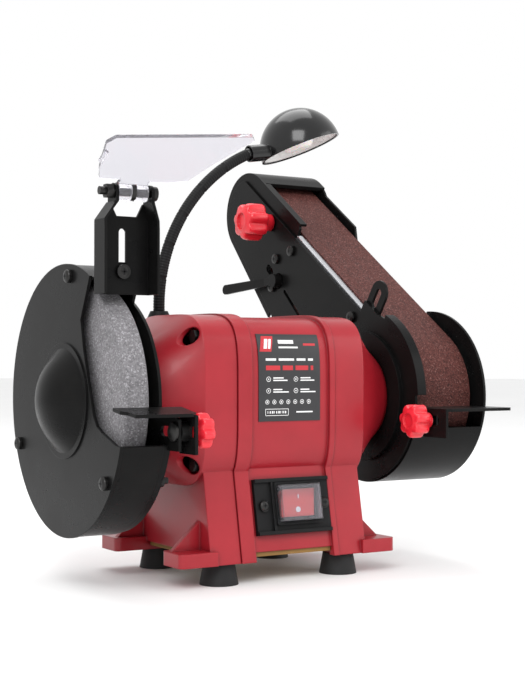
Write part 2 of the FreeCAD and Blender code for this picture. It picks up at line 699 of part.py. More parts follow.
def left_rest():
    """The tilted table in front of the wheel, its bolt and its star knob."""
    y, z = -size("rest_left_y"), size("rest_left_z")
    side = block((-96, -101, 88), (-94, -81, 111.5))
    slope = math.degrees(math.atan2(3.5, 22))
    corners = [(-135, 0), (-97, 0), (-94, 3), (-94, 22), (-139.5, 22), (-139.5, 12), (-136, 9)]
    points = [Vector(x, y, 0) for x, y in corners + corners[:1]]
    table = Part.Face(Part.makePolygon(points)).extrude(Vector(0, 0, 2))
    table.Placement = Placement(Vector(0, -101, size("table_left_z")), Rotation(X_AXIS, slope))
    boss = bar(6, -101.8, -96, y, z)
    hole = bar(size("bolt_radius") + 0.1, -103, -93, y, z)
    notch = block((-97, -99, 98.2), (-93, -93.6, 104.8))
    shape = side.fuse([table, boss]).cut([hole, notch])
    shaped("left_rest", shape.removeSplitter())
    shaped("left_rest_bolt", bolt_x(-104.2, -80, y, z))
    knob = star(size("knob_radius"), 5, 13)
    knob = knob.mirror(Vector(), X_AXIS)
    knob = knob.cut(bar(size("bolt_radius") + 0.05, -1, 14, 0, 0))
    shaped("left_rest_knob", knob, Placement(Vector(-93.7, y, z), Rotation()))


left_rest()


ARMS = (-129, -105)


def shield_bracket():
    """The channel that carries the eye shield, slotted for its screw."""
    left, right = -size("bracket_left"), -size("bracket_right")
    y = -size("bracket_y")
    low, high = size("bracket_low"), size("bracket_high")
    wing = size("bracket_wing")
    thin = 1.6
    shape = block((left, y, low), (right, y + size("sheet"), high))
    hinge_y, hinge_z = -size("hinge_y"), size("hinge_z")
    for side, edge, arm in ((1, left, ARMS[0]), (-1, right, ARMS[1] + 2)):
        path = [(edge, low), (edge, high), (arm, hinge_z - 6), (arm, hinge_z + 6)]
        inner = [(x + side * (thin if number < 2 else 2), z)
                 for number, (x, z) in enumerate(path)]
        points = [Vector(x, y - wing, z) for x, z in path + inner[::-1] + path[:1]]
        shape = shape.fuse(Part.Face(Part.makePolygon(points)).extrude(Vector(0, wing, 0)))
    web = [(left, high), (ARMS[0], hinge_z - 6), (ARMS[0] + 2, hinge_z - 6),
           (ARMS[0] + 6, high + 3), (ARMS[1] - 4, high + 3), (ARMS[1], hinge_z - 6),
           (ARMS[1] + 2, hinge_z - 6), (right, high)]
    points = [Vector(x, y, z) for x, z in web + web[:1]]
    shape = shape.fuse(Part.Face(Part.makePolygon(points)).extrude(Vector(0, 2, 0)))
    ends = plate_yz(left - 1, right - left + 2, [(y - wing, low - 1), (y - wing, high - 6),
                                                 (hinge_y - 5, hinge_z - 4), (hinge_y - 5, hinge_z),
                                                 (hinge_y + 5, hinge_z), (y + 2, high + 12),
                                                 (y + 2, low - 1)])
    shape = shape.common(ends.fuse(bar(5, left - 1, right + 1, hinge_y, hinge_z)))
    middle, slot_low, slot_high = -size("bracket_middle"), size("bracket_screw_z"), 222
    slot = block((middle - 2.5, y - 1, slot_low), (middle + 2.5, y + 3, slot_high))
    slot = slot.fuse([Part.makeCylinder(2.5, 4, Vector(middle, y - 1, z), Vector(0, 1, 0))
                      for z in (slot_low, slot_high)])
    pins = [bar(2.6, arm - 1, arm + 3, hinge_y, hinge_z) for arm in ARMS]
    return shape.cut([slot] + pins).removeSplitter()


def shield_shape():
    """The clear shield: an irregular plate leaning up and forward from two knuckles."""
    lean = size("shield_lean")
    outline_points = [(-141, 8), (-144.7, 17.8), (-149.3, 40.2), (-145.3, 45.9), (-60.8, 58.5),
                      (-57.8, 55.5), (-74, 29.5), (-83.2, 11.5), (-98, 8)]
    points = [Vector(x, -along, 0) for x, along in outline_points + outline_points[:1]]
    thick = size("shield_thick")
    plate = Part.Face(Part.makePolygon(points)).extrude(Vector(0, 0, thick))
    plate = plate.fuse(block((-126.8, -12, 0), (-107.2, 0, thick)))
    plate = plate.fuse(block((-145, -30, thick - 0.1), (-143.4, -19, thick + 2.4)))
    plate.Placement = Placement(Vector(0, -size("hinge_y"), size("hinge_z") + 2.2),
                                Rotation(X_AXIS, -lean))
    knuckles = [bar(5.5, start, end, -size("hinge_y"), size("hinge_z"))
                for start, end in ((-126.8, -118.2), (-114.8, -107.2))]
    clear = [bar(2.55, -160, -50, -size("hinge_y"), size("hinge_z")),
             bar(5.9, -118.2, -114.8, -size("hinge_y"), size("hinge_z"))]
    return plate.fuse(knuckles).cut(clear).removeSplitter()


def shield_pin():
    y, z = "-hinge_y", "hinge_z"
    return group(fuse(rod("x", -138, y, z, 2.5, 35), rod("x", -103, y, z, 4.5, 3)),
                 cut(hexagon("x", -134, y, z, 8, 5), rod("x", -134, y, z, 2.5, 5)),
                 pipe("x", -117.9, y, z, 5.2, 2.5, 2.8))


shaped("shield_bracket", shield_bracket())
shaped("eye_shield", shield_shape())
node("shield_pin", shield_pin())
head = rod("y", "-bracket_middle", "-bracket_y-2.6", "bracket_screw_z", 4.5, 2.6)
stem = rod("y", "-bracket_middle", "-bracket_y-0.1", "bracket_screw_z", 2, 9)
node("bracket_screw", fuse(head, stem))

# ---------------------------------------------------------------- belt unit
# These pieces are built in the belt's own frame: local Y runs up along the front run of the
# belt, local Z stands square to it and the shaft is the origin. RUN carries them into place.

RUN = Placement(Vector(0, 0, size("axis_height")), Rotation(X_AXIS, size("run_angle")))
BELT_INSIDE = size("drum_radius") + size("body_gap")
BELT_OUTSIDE = BELT_INSIDE + size("belt_thick")
IDLER_INSIDE = size("idler_radius") + 0.6
IDLER_UP = BELT_INSIDE - IDLER_INSIDE
IDLER_ALONG = math.sqrt(size("centre_distance") ** 2 - IDLER_UP ** 2)
LINE_ANGLE = math.degrees(math.atan2(IDLER_UP, IDLER_ALONG))
SIDE = size("side_plate")
THICK = size("sheet")


def loop(drum, idler, start, end):
    """The shape enclosed by a belt of the two radii, between two stations along the shaft."""
    lean = math.asin((drum - idler) / size("centre_distance"))
    line = math.radians(LINE_ANGLE)
    corners = []
    for angle in (line + math.pi / 2 - lean, line - math.pi / 2 + lean):
        corners.append((drum * math.cos(angle), drum * math.sin(angle)))
        corners.append((IDLER_ALONG + idler * math.cos(angle),
                        IDLER_UP + idler * math.sin(angle)))
    ordered = [corners[0], corners[1], corners[3], corners[2]]
    middle = plate_yz(start, end - start, ordered)
    return middle.fuse([bar(drum, start, end, 0, 0),
                        bar(idler, start, end, IDLER_ALONG, IDLER_UP)]).removeSplitter()


def on_line(along, up=0):
    """A local place measured along the line of centres and square to it."""
    line = math.radians(LINE_ANGLE)
    return (along * math.cos(line) - up * math.sin(line),
            along * math.sin(line) + up * math.cos(line))


def line_block(x, end, first, last, low, high):
    """A block aligned with the line of centres."""
    corners = [on_line(first, low), on_line(last, low), on_line(last, high), on_line(first, high)]
    return plate_yz(x, end - x, corners)


def local(name, shape):
    return shaped(name, shape, RUN)


ARM_SCREWS = [(157.7, 20.6), (142.2, 37.2), (149.9, -1), (44.5, 39.2)]
KNOB_AT = (size("tracking_s"), size("tracking_n"))
LEVER_AT = (145.2, 7.7)
STEM_X = 131  # the fork's stem stands in the middle of the belt's width
STEM_RADIUS = 5
FORK_START = 166  # along the line of centres
FORK_LEFT = SIDE + 2 * THICK + 0.4
FORK_RIGHT = 158.6
GUIDE_START, GUIDE_END = 118, 134
SPRING_RADIUS = 7
AXLE_RADIUS = 5
IDLER_LEFT, IDLER_RIGHT = 106.6, 155
PLATEN_SEAT = 44
SHAFT_HOLE = bar(12, SIDE - 8, SIDE + 4, 0, 0)


def belt_plate():
    """The tall sheet on the motor side that carries the platen, the ear and the idler gear."""
    shape = loop(size("back_edge"), 27, SIDE, SIDE + THICK)
    shape = shape.cut(plate_yz(SIDE - 1, 4, [(-5, size("front_edge")), (260, size("front_edge")),
                                             (260, 90), (-5, 90)]))
    disc = bar(size("plate_radius"), SIDE, SIDE + THICK, 0, 0)
    disc = disc.cut(plate_yz(SIDE - 1, 4, [(20, 48), (80, 48), (80, 90), (20, 90)]))
    lip_first, lip_last = 114.8 - size("run_angle"), 178.2 - size("run_angle")
    lip = [local_ring(64, 62, SIDE, 7.4, lip_first, lip_last),
           local_ring(64, 55, SIDE, THICK, lip_first, lip_last)]
    tab_n = size("lug_s")
    half = size("lug_half")
    top = size("lug_top") - half
    lug = block((SIDE + THICK, tab_n - half, 40), (SIDE + 2 * THICK, tab_n + half, top))
    lug = lug.fuse([bar(half, SIDE + THICK, SIDE + 2 * THICK, tab_n, top),
                    block((SIDE, tab_n - half, 40), (SIDE + THICK, tab_n + half, 58))])
    lug = lug.cut(slot_x(SIDE + 1, SIDE + 5, 3, (tab_n, 61), (tab_n, top)))
    dish = bar(size("dish_radius"), SIDE - 3, SIDE, 0, 0)
    dish = dish.cut(bar(size("dish_radius") - 3, SIDE - 1.5, SIDE + 1, 0, 0))
    dish = dish.cut(bar(33, SIDE - 4, SIDE - 1.5, 0, 0))
    boss = bar(30, size("bell_end"), SIDE, 0, 0)
    platen = block((SIDE + THICK, size("platen_start"), PLATEN_SEAT - 4),
                   (SIDE + 2 * THICK, size("platen_end"), PLATEN_SEAT))
    shape = shape.fuse([disc, lug, dish, boss, platen] + lip)
    cuts = [SHAFT_HOLE, slot_x(SIDE - 1, SIDE + 3, 1.5, (105.1, 1.4), (133, 5.4)),
            slot_x(SIDE - 1, SIDE + 3, 3.2, (159.3, 7.6), (163.9, 8)),
            bar(4.3, SIDE - 1, SIDE + 3, *KNOB_AT), bar(6.3, SIDE - 1, SIDE + 3, *LEVER_AT)]
    cuts += [bar(2.2, SIDE - 1, SIDE + 5, y, z) for y, z in ARM_SCREWS]
    cuts += [bar(2.3, SIDE - 8, SIDE + 3, y, z) for y, z in arm_mounts()]
    return shape.cut(cuts)


def arm_mounts():
    """The three screws that hold the belt unit on the bell, in the belt's own frame."""
    for angle in (90, 210, 330):
        turn = math.radians(angle - size("run_angle"))
        radius = size("arm_screw_circle")
        yield radius * math.cos(turn), radius * math.sin(turn)


def local_ring(outside, inside, start, width, first, last):
    ring_part = arc_ring(outside, inside, start, width, first, last)
    ring_part.translate(Vector(0, 0, -size("axis_height")))
    return ring_part


def world_to_local(shape):
    """Takes a shape drawn in the object's frame into the belt's own frame."""
    moved = shape.copy()
    moved.Placement = RUN.inverse().multiply(shape.Placement)
    return moved


def ear_shape():
    """The slotted ear in front of the drum that the right rest is bolted to."""
    ear = block((SIDE, -84, 93), (SIDE + THICK, -45, 108.4))
    ear = ear.cut(bar(40, SIDE - 1, SIDE + 3))
    return ear


def platen_shape():
    """The hard plate behind the front run, folded down on both edges."""
    top = BELT_INSIDE - 0.1
    start, end = size("platen_start"), size("platen_end")
    left = SIDE + THICK
    right = size("belt_left") + size("belt_width") - 1.8
    shape = block((left, start, top - THICK), (right, end, top))
    shape = shape.fuse(block((left, start, PLATEN_SEAT + 0.2), (left + THICK, end, top)))
    return shape.fuse(block((right - THICK, start, 40), (right, end, top)))


def hood(start, edge, radius, outer):
    """One cheek of the cover over the idler."""
    first, last = size("hood_start"), IDLER_ALONG
    line = math.radians(LINE_ANGLE)
    lean = math.asin((size("drum_radius") - size("idler_radius")) / size("centre_distance"))
    back = line - math.pi / 2 + lean
    tail = (last + radius * math.cos(back), IDLER_UP + radius * math.sin(back))
    slope = math.tan(back + math.pi / 2)
    corners = [(first, outer - edge), (first + edge, outer), (last, outer), tail,
               (first, tail[1] - (tail[0] - first) * slope)]
    cheek = plate_yz(start, THICK, corners)
    end = bar(radius, start, start + THICK, last, outer - radius)
    return cheek.fuse([end, bar(radius, start, start + THICK, last, IDLER_UP)]).removeSplitter()


def hood_rim(radius, start, end):
    """The solid end of the hood over the idler, for the bridge sheet."""
    return bar(radius, start, end, IDLER_ALONG, size("hood_edge") - size("hood_radius"))


def top_cover():
    left = SIDE + THICK
    right = size("outer_plate") - THICK / 2
    radius = size("hood_radius")
    outer = size("hood_edge")
    shape = hood(left, 4, radius, outer).fuse(hood(right, 10, radius, outer - 4))
    bridge = hood_rim(radius, left, right + THICK).cut(hood_rim(radius - THICK, left, right + 3))
    keep = plate_yz(left, right + THICK - left, [(213, 70), (275, 70), (275, -40), (226, -40),
                                                 (226, 10), (213, 40)])
    lip = block((left, 146, size("hood_edge") - 2), (left + 6, 212, size("hood_edge")))
    top = block((left, 213, size("hood_edge") - 2), (right + THICK, IDLER_ALONG,
                                                     size("hood_edge")))
    shape = shape.fuse([bridge.common(keep), lip, top])
    cuts = [bar(4.4, left - 1, left + 3, *KNOB_AT), bar(5.3, left - 1, left + 3, *LEVER_AT)]
    cuts += [bar(2.2, left - 1, left + 3, y, z) for y, z in ARM_SCREWS[:3]]
    cuts.append(slot_x(left - 1, left + 3, 3.2, (159.3, 7.6), (163.9, 8)))
    return shape.cut(cuts)


def drum_guard():
    """The outer cheek and the band under the drum, in the object's frame."""
    left = SIDE + THICK
    right = size("outer_plate") - THICK / 2
    radius = size("outer_radius")
    cheek = bar(radius, right, right + THICK)
    band = arc_ring(radius, radius - THICK, left, right - left, 200, 328)
    foot = arc_ring(radius, radius - 9, left, THICK, 200, 328)
    trim = plate_yz(right - 1, 4, [(2, 181), (60, 200), (90, 118), (60, 100), (30, 118)])
    return cheek.cut(trim).fuse([band, foot])


def fork_shape():
    """The sliding fork between the two runs, with its stem."""
    half, thick = 8, 2.2
    first = FORK_START
    arms = []
    for start in (FORK_LEFT, FORK_RIGHT - thick):
        end = start + thick
        arm = line_block(start, end, first, size("centre_distance"), -half, half)
        arm = arm.fuse(bar(half, start, end, IDLER_ALONG, IDLER_UP))
        axle_hole = bar(AXLE_RADIUS + 0.6, start - 1, end + 1, IDLER_ALONG, IDLER_UP)
        arms.append(arm.cut(axle_hole))
    base = line_block(FORK_LEFT, FORK_RIGHT, first, first + 10, -half, half)
    stem = along_line(STEM_RADIUS, GUIDE_START - 6, first + 2, STEM_X)
    cup = along_line(SPRING_RADIUS + 1.6, first - 0.1, first + 4.5, STEM_X)
    cup = cup.cut(along_line(STEM_RADIUS, first - 6, first + 9, STEM_X))
    return base.cut(cup).fuse(arms + [stem]).removeSplitter()


def along_line(radius, first, last, x):
    """A cylinder along the line of centres, in the plane of an X station."""
    y, z = on_line(first)
    line = math.radians(LINE_ANGLE)
    return Part.makeCylinder(radius, last - first, Vector(x, y, z),
                             Vector(0, math.cos(line), math.sin(line)))


def guide_shape():
    """The bushing that the fork's stem slides in, carried across from the side plate."""
    start, end = GUIDE_START, GUIDE_END
    body = line_block(SIDE + THICK, STEM_X + 8, start, end, -8, 8)
    step = line_block(SIDE + THICK, SIDE + 2 * THICK, start, end, -12, 12)
    bore = along_line(STEM_RADIUS + 0.05, start - 18, end + 6, STEM_X)
    return body.fuse(step).cut([bore, bar(2.2, SIDE, SIDE + 8, *LEVER_AT)])


def spring_shape():
    """The tension spring round the stem, as seven rings that clear the fork's whole travel."""
    coils = []
    first, last = GUIDE_END + 1.5, FORK_START + 0.2
    wire = 1.2
    count = 7
    line = math.radians(LINE_ANGLE)
    for number in range(count):
        middle = first + wire + (last - first - 2 * wire) * number / (count - 1)
        y, z = on_line(middle)
        coils.append(Part.makeTorus(SPRING_RADIUS, wire, Vector(STEM_X, y, z),
                                    Vector(0, math.cos(line), math.sin(line))))
    return Part.makeCompound(coils)


def lever_shape():
    """The tension lever from its pivot: a hub and a slim flat arm that bends outwards."""
    length = size("lever_length")
    hub = bar(5.5, -6.5, -0.4, 0, 0)
    stem = bar(5, -3.5, THICK * 2 - 0.2, 0, 0)
    side = [(-6.5, 0), (-4, 0), (-4, 12), (-9, length), (-11.5, length), (-6.5, 12)]
    points = [Vector(x, y, -8) for x, y in side + side[:1]]
    sheet_path = Part.Face(Part.makePolygon(points)).extrude(Vector(0, 0, 16))
    face = plate_yz(-13, 13, [(0, -3), (length - 4, -4), (length - 4, 4), (0, 3)])
    face = face.fuse([bar(4, -13, 0, length - 4, 0), bar(5.5, -13, 0, 0, 0)])
    return sheet_path.common(face).fuse([hub, stem]).removeSplitter()


def idler_shape():
    """The hollow drum at the far end of the belt, with a hub that turns on the axle."""
    rim = bar(size("idler_radius"), IDLER_LEFT, IDLER_RIGHT, 0, 0)
    rim = rim.cut(bar(size("idler_radius") - 3.5, IDLER_LEFT + 2.4, IDLER_RIGHT - 2, 0, 0))
    hub = bar(9, IDLER_LEFT + 1.4, IDLER_RIGHT - 1, 0, 0)
    bore = bar(AXLE_RADIUS + 0.05, IDLER_LEFT - 6, IDLER_RIGHT + 5, 0, 0)
    return rim.fuse(hub).cut(bore).removeSplitter()


def belt_unit():
    plate = belt_plate().fuse(world_to_local(ear_shape()))
    ear_hole = world_to_local(bar(size("bolt_radius") + 0.1, SIDE - 1, SIDE + 3,
                                  -size("rest_right_y"), size("rest_right_z")))
    local("belt_plate", plate.cut(ear_hole).removeSplitter())
    local("platen", platen_shape().removeSplitter())
    local("top_cover", top_cover().removeSplitter())
    shaped("drum_guard", drum_guard().removeSplitter())
    left, right = size("belt_left"), size("belt_left") + size("belt_width")
    belt = loop(BELT_OUTSIDE, IDLER_INSIDE + size("belt_thick"), left, right)
    local("sanding_belt", belt.cut(loop(BELT_INSIDE, IDLER_INSIDE, left - 1, right + 1)))
    local("idler_fork", fork_shape())
    local("fork_guide", guide_shape().removeSplitter())
    local("tension_spring", spring_shape())
    place = RUN.multiply(Placement(Vector(0, IDLER_ALONG, IDLER_UP), Rotation()))
    shaped("idler_drum", idler_shape(), place)
    axle = bar(AXLE_RADIUS, 102.9, 158.9, 0, 0)
    collars = [bar(AXLE_RADIUS + 2, start, start + 1, 0, 0)
               for start in (IDLER_LEFT - 1.2, IDLER_RIGHT + 0.2)]
    shaped("idler_axle", axle.fuse(collars).removeSplitter(), place)
    turn = Rotation(X_AXIS, size("run_angle") - 38.7)
    pivot = RUN.multVec(Vector(SIDE, *LEVER_AT))
    shaped("tension_lever", lever_shape(), Placement(pivot, turn))
    knob_at = RUN.multVec(Vector(SIDE - 0.3, *KNOB_AT))
    knob = star(size("tracking_knob_radius"), 9, 28, 7)
    knob = knob.fuse(bar(4, 0, 4.1, 0, 0))
    shaped("tracking_knob", knob.fuse(bar(4, -1, 1, 0, 0)), Placement(knob_at, Rotation()))
    screws = []
    for y, z in ARM_SCREWS:
        screws.append(bar(4, SIDE - 2.4, SIDE, y, z).fuse(bar(2, SIDE - 1, SIDE + 3.9, y, z)))
    local("arm_screws", Part.makeCompound(screws))


def mounting_screws():
    """The six screws that hold the wheel guard and the belt unit on the two bells."""
    screws = []
    head = 3.8
    left, right = -size("rim_right"), SIDE + THICK
    for y, z in round_spots(size("arm_screw_circle"), (90, 210, 330)):
        screws.append(bar(head, left - 2.5, left, y, z).fuse(bar(2, left - 1, left + 13, y, z)))
        screws.append(bar(head, right, right + 2.5, y, z).fuse(bar(2, right - 10, right, y, z)))
    shaped("mounting_screws", Part.makeCompound(screws))


belt_unit()
mounting_screws()
node("drive_drum", turned(
    ("belt_left+0.8", "drum_radius-5"), ("belt_left+0.8", "drum_radius"),
    ("belt_left+belt_width-0.8", "drum_radius"), ("belt_left+belt_width-0.8", "drum_radius-5"),
    ("hub_end-8", "drum_radius-6"), ("hub_end-8", "journal_radius+6"),
    ("hub_end", "journal_radius+6"), ("hub_end", "shaft_radius"), ("hub_start", "shaft_radius"),
    ("hub_start", "journal_radius+4"), ("hub_end-14", "journal_radius+4"),
    ("hub_end-14", "drum_radius-6")))


def right_rest():
    """The level table in front of the belt, its bolt and its star knob."""
    y, z = -size("rest_right_y"), size("rest_right_z")
    top = size("table_right_z") + 1
    left, right = SIDE - 2.3, 156
    front, back = -97, -65.5
    table = block((103.4, front, top - THICK), (right, -54.4, top))
    tongue = block((left, front, top - THICK), (103.5, back, top))
    side = block((left, front, 92), (left + THICK, back, top))
    side = side.cut(slot_x(SIDE - 4, SIDE, 3.1, (-86.8, z), (-75.6, z)))
    shape = table.fuse([tongue, side]).removeSplitter()
    corners = [edge for edge in shape.Edges
               if 1 < edge.BoundBox.ZLength < 3 and edge.BoundBox.XMin > right - 1]
    shaped("right_rest", shape.makeFillet(5, corners))
    shaped("right_rest_bolt", bolt_x(SIDE + THICK, 83, y, z))
    knob = star(11.5, 6, 18)
    knob = knob.cut(bar(size("bolt_radius") + 0.05, -19, 1, 0, 0))
    shaped("right_rest_knob", knob, Placement(Vector(SIDE - 2.6, y, z), Rotation()))


right_rest()

# ---------------------------------------------------------------- lamp
NECK_LINKS = 6
NECK_STEP = 23.8
NECK_TURN = 11.3
SHADE_TILT = 21
SHADE_TURN = 31.6
SHADE_FROM_NECK = Vector(44.2, 0, 6.9)


def neck_points():
    """The gooseneck's joints: equal steps whose heading drops by the same angle each time."""
    x, z = size("neck_x") - 0.5, size("neck_foot") + 4
    points = [(x, z)]
    for number in range(NECK_LINKS):
        heading = math.radians(86 - NECK_TURN * number)
        x += NECK_STEP * math.cos(heading)
        z += NECK_STEP * math.sin(heading)
        points.append((x, z))
    return points


def socket(x, z):
    return Part.makeSphere(size("neck_radius") + size("body_gap"), Vector(x, size("neck_y"), z))


def shade_up():
    """The way the closed top of the shade points."""
    tilt, turn = math.radians(SHADE_TILT), math.radians(SHADE_TURN)
    return Vector(-math.sin(tilt) * math.cos(turn), math.sin(tilt) * math.sin(turn),
                  math.cos(tilt))


def lamp():
    radius, y = size("neck_radius"), size("neck_y")
    points = neck_points()
    for number in range(NECK_LINKS):
        (x1, z1), (x2, z2) = points[number], points[number + 1]
        start = Vector(x1, y, z1)
        link = Part.makeCylinder(radius, NECK_STEP, start, Vector(x2 - x1, 0, z2 - z1))
        link = link.fuse(Part.makeSphere(radius, start)).cut(socket(x2, z2))
        shaped("gooseneck_%d" % (number + 1), link.removeSplitter())
    foot_x, foot_z = points[0]
    foot = Part.makeCone(9, 6, 6.5, Vector(foot_x, y, size("neck_foot") - 2.5))
    foot = foot.cut([socket(foot_x, foot_z), right_bell.mirror(Vector(), X_AXIS)])
    shaped("lamp_base", max(foot.Solids, key=lambda solid: solid.Volume))
    x, z = points[-1]
    end = Vector(x, y, z)
    centre = end + SHADE_FROM_NECK
    outer, inner = size("shade_radius"), size("shade_radius") - size("shade_thick")
    up = shade_up()
    half_space = Part.makeCylinder(60, 60, centre, up * -1)
    collar = Part.makeCylinder(6, 17, end, centre - end)
    collar = collar.cut(Part.makeSphere(5.2, end))
    neck = Part.makeCylinder(radius, 8, end, centre - end).fuse(Part.makeSphere(radius, end))
    shell = Part.makeSphere(outer, centre).fuse([collar, neck])
    shell = shell.cut([half_space, Part.makeSphere(inner, centre)])
    shaped("lamp_shade", shell.removeSplitter())
    bulb = Part.makeCylinder(9, inner - 9, centre + up * 8, up)
    bulb = bulb.fuse(Part.makeSphere(13, centre + up * 10)).cut(half_space)
    bulb = bulb.common(Part.makeSphere(inner, centre))
    shaped("lamp_bulb", bulb.removeSplitter())


lamp()

# ---------------------------------------------------------------- checks and export
doc.recompute()
for thing in doc.Objects:
    if "Invalid" in thing.State or "Error" in thing.State:
        raise SystemExit("%s did not compute: %s" % (thing.Label, thing.State))
os.makedirs("parts", exist_ok=True)
for thing in NODES:
    if thing.Shape.isNull() or not thing.Shape.isValid() or not thing.Shape.Solids:
        raise SystemExit("%s has a bad shape" % thing.Label)
    thing.Shape.exportStep("parts/%s.step" % thing.Label)
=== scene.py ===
import json
import math

import bmesh
import bpy
from mathutils import Matrix, Vector


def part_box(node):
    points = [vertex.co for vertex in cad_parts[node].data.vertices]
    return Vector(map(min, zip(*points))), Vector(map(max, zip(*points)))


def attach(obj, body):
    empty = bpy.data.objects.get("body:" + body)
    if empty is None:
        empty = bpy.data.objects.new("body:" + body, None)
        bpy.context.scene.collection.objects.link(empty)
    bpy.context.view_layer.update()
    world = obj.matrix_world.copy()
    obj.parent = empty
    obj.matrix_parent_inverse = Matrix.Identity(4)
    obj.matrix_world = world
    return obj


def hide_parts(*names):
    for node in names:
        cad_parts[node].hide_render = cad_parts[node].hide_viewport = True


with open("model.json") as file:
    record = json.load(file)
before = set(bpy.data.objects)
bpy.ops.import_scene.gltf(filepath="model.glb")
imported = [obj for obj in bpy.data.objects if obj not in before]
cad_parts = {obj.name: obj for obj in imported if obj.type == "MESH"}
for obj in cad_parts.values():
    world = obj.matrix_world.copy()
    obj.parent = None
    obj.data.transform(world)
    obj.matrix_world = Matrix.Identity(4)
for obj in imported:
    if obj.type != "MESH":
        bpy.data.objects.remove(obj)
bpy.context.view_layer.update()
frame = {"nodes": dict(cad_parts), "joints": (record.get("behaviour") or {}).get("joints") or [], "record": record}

NODES = frame["nodes"]
JOINTS = {joint["name"]: joint for joint in frame["joints"]}
MM = 0.001
SHAFT = Vector(JOINTS["rotor_spin"]["pos_m"])


# ---------------------------------------------------------------- shader helpers

# Noise scales are in cells per metre; bevels, bump distances and reaches are in metres.
PATCH_SCALE = 28
# How far the painted shade in corners and creases reaches.
CORNER_SHADE_REACH = 0.004


def tree(name):
    """A new material with one principled shader: the material, its nodes, links and shader."""
    material = bpy.data.materials.new(name)
    material.use_nodes = True
    nodes = material.node_tree.nodes
    nodes.clear()
    out = nodes.new("ShaderNodeOutputMaterial")
    shader = nodes.new("ShaderNodeBsdfPrincipled")
    material.node_tree.links.new(shader.outputs[0], out.inputs[0])
    return material, nodes, material.node_tree.links, shader


def coords(nodes, links, stretch=(1, 1, 1)):
    """Object coordinates, stretched along an axis where the surface was worked that way."""
    source = nodes.new("ShaderNodeTexCoord")
    mapping = nodes.new("ShaderNodeMapping")
    mapping.inputs["Scale"].default_value = stretch
    links.new(source.outputs["Object"], mapping.inputs["Vector"])
    return mapping.outputs["Vector"]


def noise(nodes, links, vector, scale, detail=4, rough=0.6):
    """The strength of a noise texture, about 0.3 to 0.7 for the most part."""
    texture = nodes.new("ShaderNodeTexNoise")
    texture.inputs["Scale"].default_value = scale
    texture.inputs["Detail"].default_value = detail
    texture.inputs["Roughness"].default_value = rough
    links.new(vector, texture.inputs["Vector"])
    return texture.outputs["Fac"]


def ramp(nodes, links, factor, stops):
    """A colour ramp from (place, colour) stops."""
    band = nodes.new("ShaderNodeValToRGB")
    elements = band.color_ramp.elements
    while len(elements) < len(stops):
        elements.new(0.5)
    for element, (place, color) in zip(elements, stops):
        element.position = place
        element.color = (*color, 1)
    links.new(factor, band.inputs["Fac"])
    return band.outputs["Color"]


def spread(nodes, links, factor, low, high, near=0.3, far=0.7):
    """Stretches a factor from near..far onto low..high."""
    reach = nodes.new("ShaderNodeMapRange")
    for name, number in (("From Min", near), ("From Max", far), ("To Min", low), ("To Max", high)):
        reach.inputs[name].default_value = number
    links.new(factor, reach.inputs["Value"])
    return reach.outputs["Result"]


def bump(nodes, links, shader, heights, edge=0.0):
    """Stacks bumps from (height, strength, distance) and rounds sharp edges for the light."""
    normal = None
    if edge:
        bevel = nodes.new("ShaderNodeBevel")
        bevel.samples = 6
        bevel.inputs["Radius"].default_value = edge
        normal = bevel.outputs["Normal"]
    for height, strength, distance in heights:
        step = nodes.new("ShaderNodeBump")
        step.inputs["Strength"].default_value = strength
        step.inputs["Distance"].default_value = distance
        links.new(height, step.inputs["Height"])
        if normal is not None:
            links.new(normal, step.inputs["Normal"])
        normal = step.outputs["Normal"]
    if normal is not None:
        links.new(normal, shader.inputs["Normal"])


def corner_shade_factor(nodes, links):
    """How open a place is, for painting shade into corners: 1 on open faces, lower in corners."""
    shade = nodes.new("ShaderNodeAmbientOcclusion")
    shade.samples = 4
    shade.inputs["Distance"].default_value = CORNER_SHADE_REACH
    return shade.outputs["AO"]


def mixed(nodes, links, factor, first, second):
    """Mixes two colours, each a fixed one or a socket, by a fixed share or a socket."""
    blend = nodes.new("ShaderNodeMix")
    blend.data_type = "RGBA"
    if isinstance(factor, float):
        blend.inputs["Factor"].default_value = factor
    else:
        links.new(factor, blend.inputs["Factor"])
    for socket, color in ((blend.inputs[6], first), (blend.inputs[7], second)):
        if isinstance(color, tuple):
            socket.default_value = (*color, 1)
        else:
            links.new(color, socket)
    return blend.outputs[2]


def coated(name, dark, light, rough, grain, strength, edge, metal=0.0, coat=0.0, specular=0.5):
    """Paint, plastic or metal: soft colour patches, painted shade in creases, a fine grain and rounded edges."""
    material, nodes, links, shader = tree(name)
    vector = coords(nodes, links)
    broad = noise(nodes, links, vector, PATCH_SCALE, 5)
    fine = noise(nodes, links, vector, grain, 3, 0.7)
    color = ramp(nodes, links, broad, [(0.3, dark), (0.7, light)])
    # Painted shade: the base colour darkens towards 0.55 of the dark tone in corners and creases.
    painted_crease_shade = spread(nodes, links, corner_shade_factor(nodes, links), 0, 1, 0.35, 0.9)
    color = mixed(nodes, links, painted_crease_shade, tuple(part * 0.55 for part in dark), color)
    links.new(color, shader.inputs["Base Color"])
    links.new(spread(nodes, links, broad, *rough), shader.inputs["Roughness"])
    shader.inputs["Metallic"].default_value = metal
    shader.inputs["Coat Weight"].default_value = coat
    shader.inputs["Coat Roughness"].default_value = 0.12
    shader.inputs["Specular IOR Level"].default_value = specular
    bump(nodes, links, shader, [(fine, strength, 0.0002)], edge)
    return material


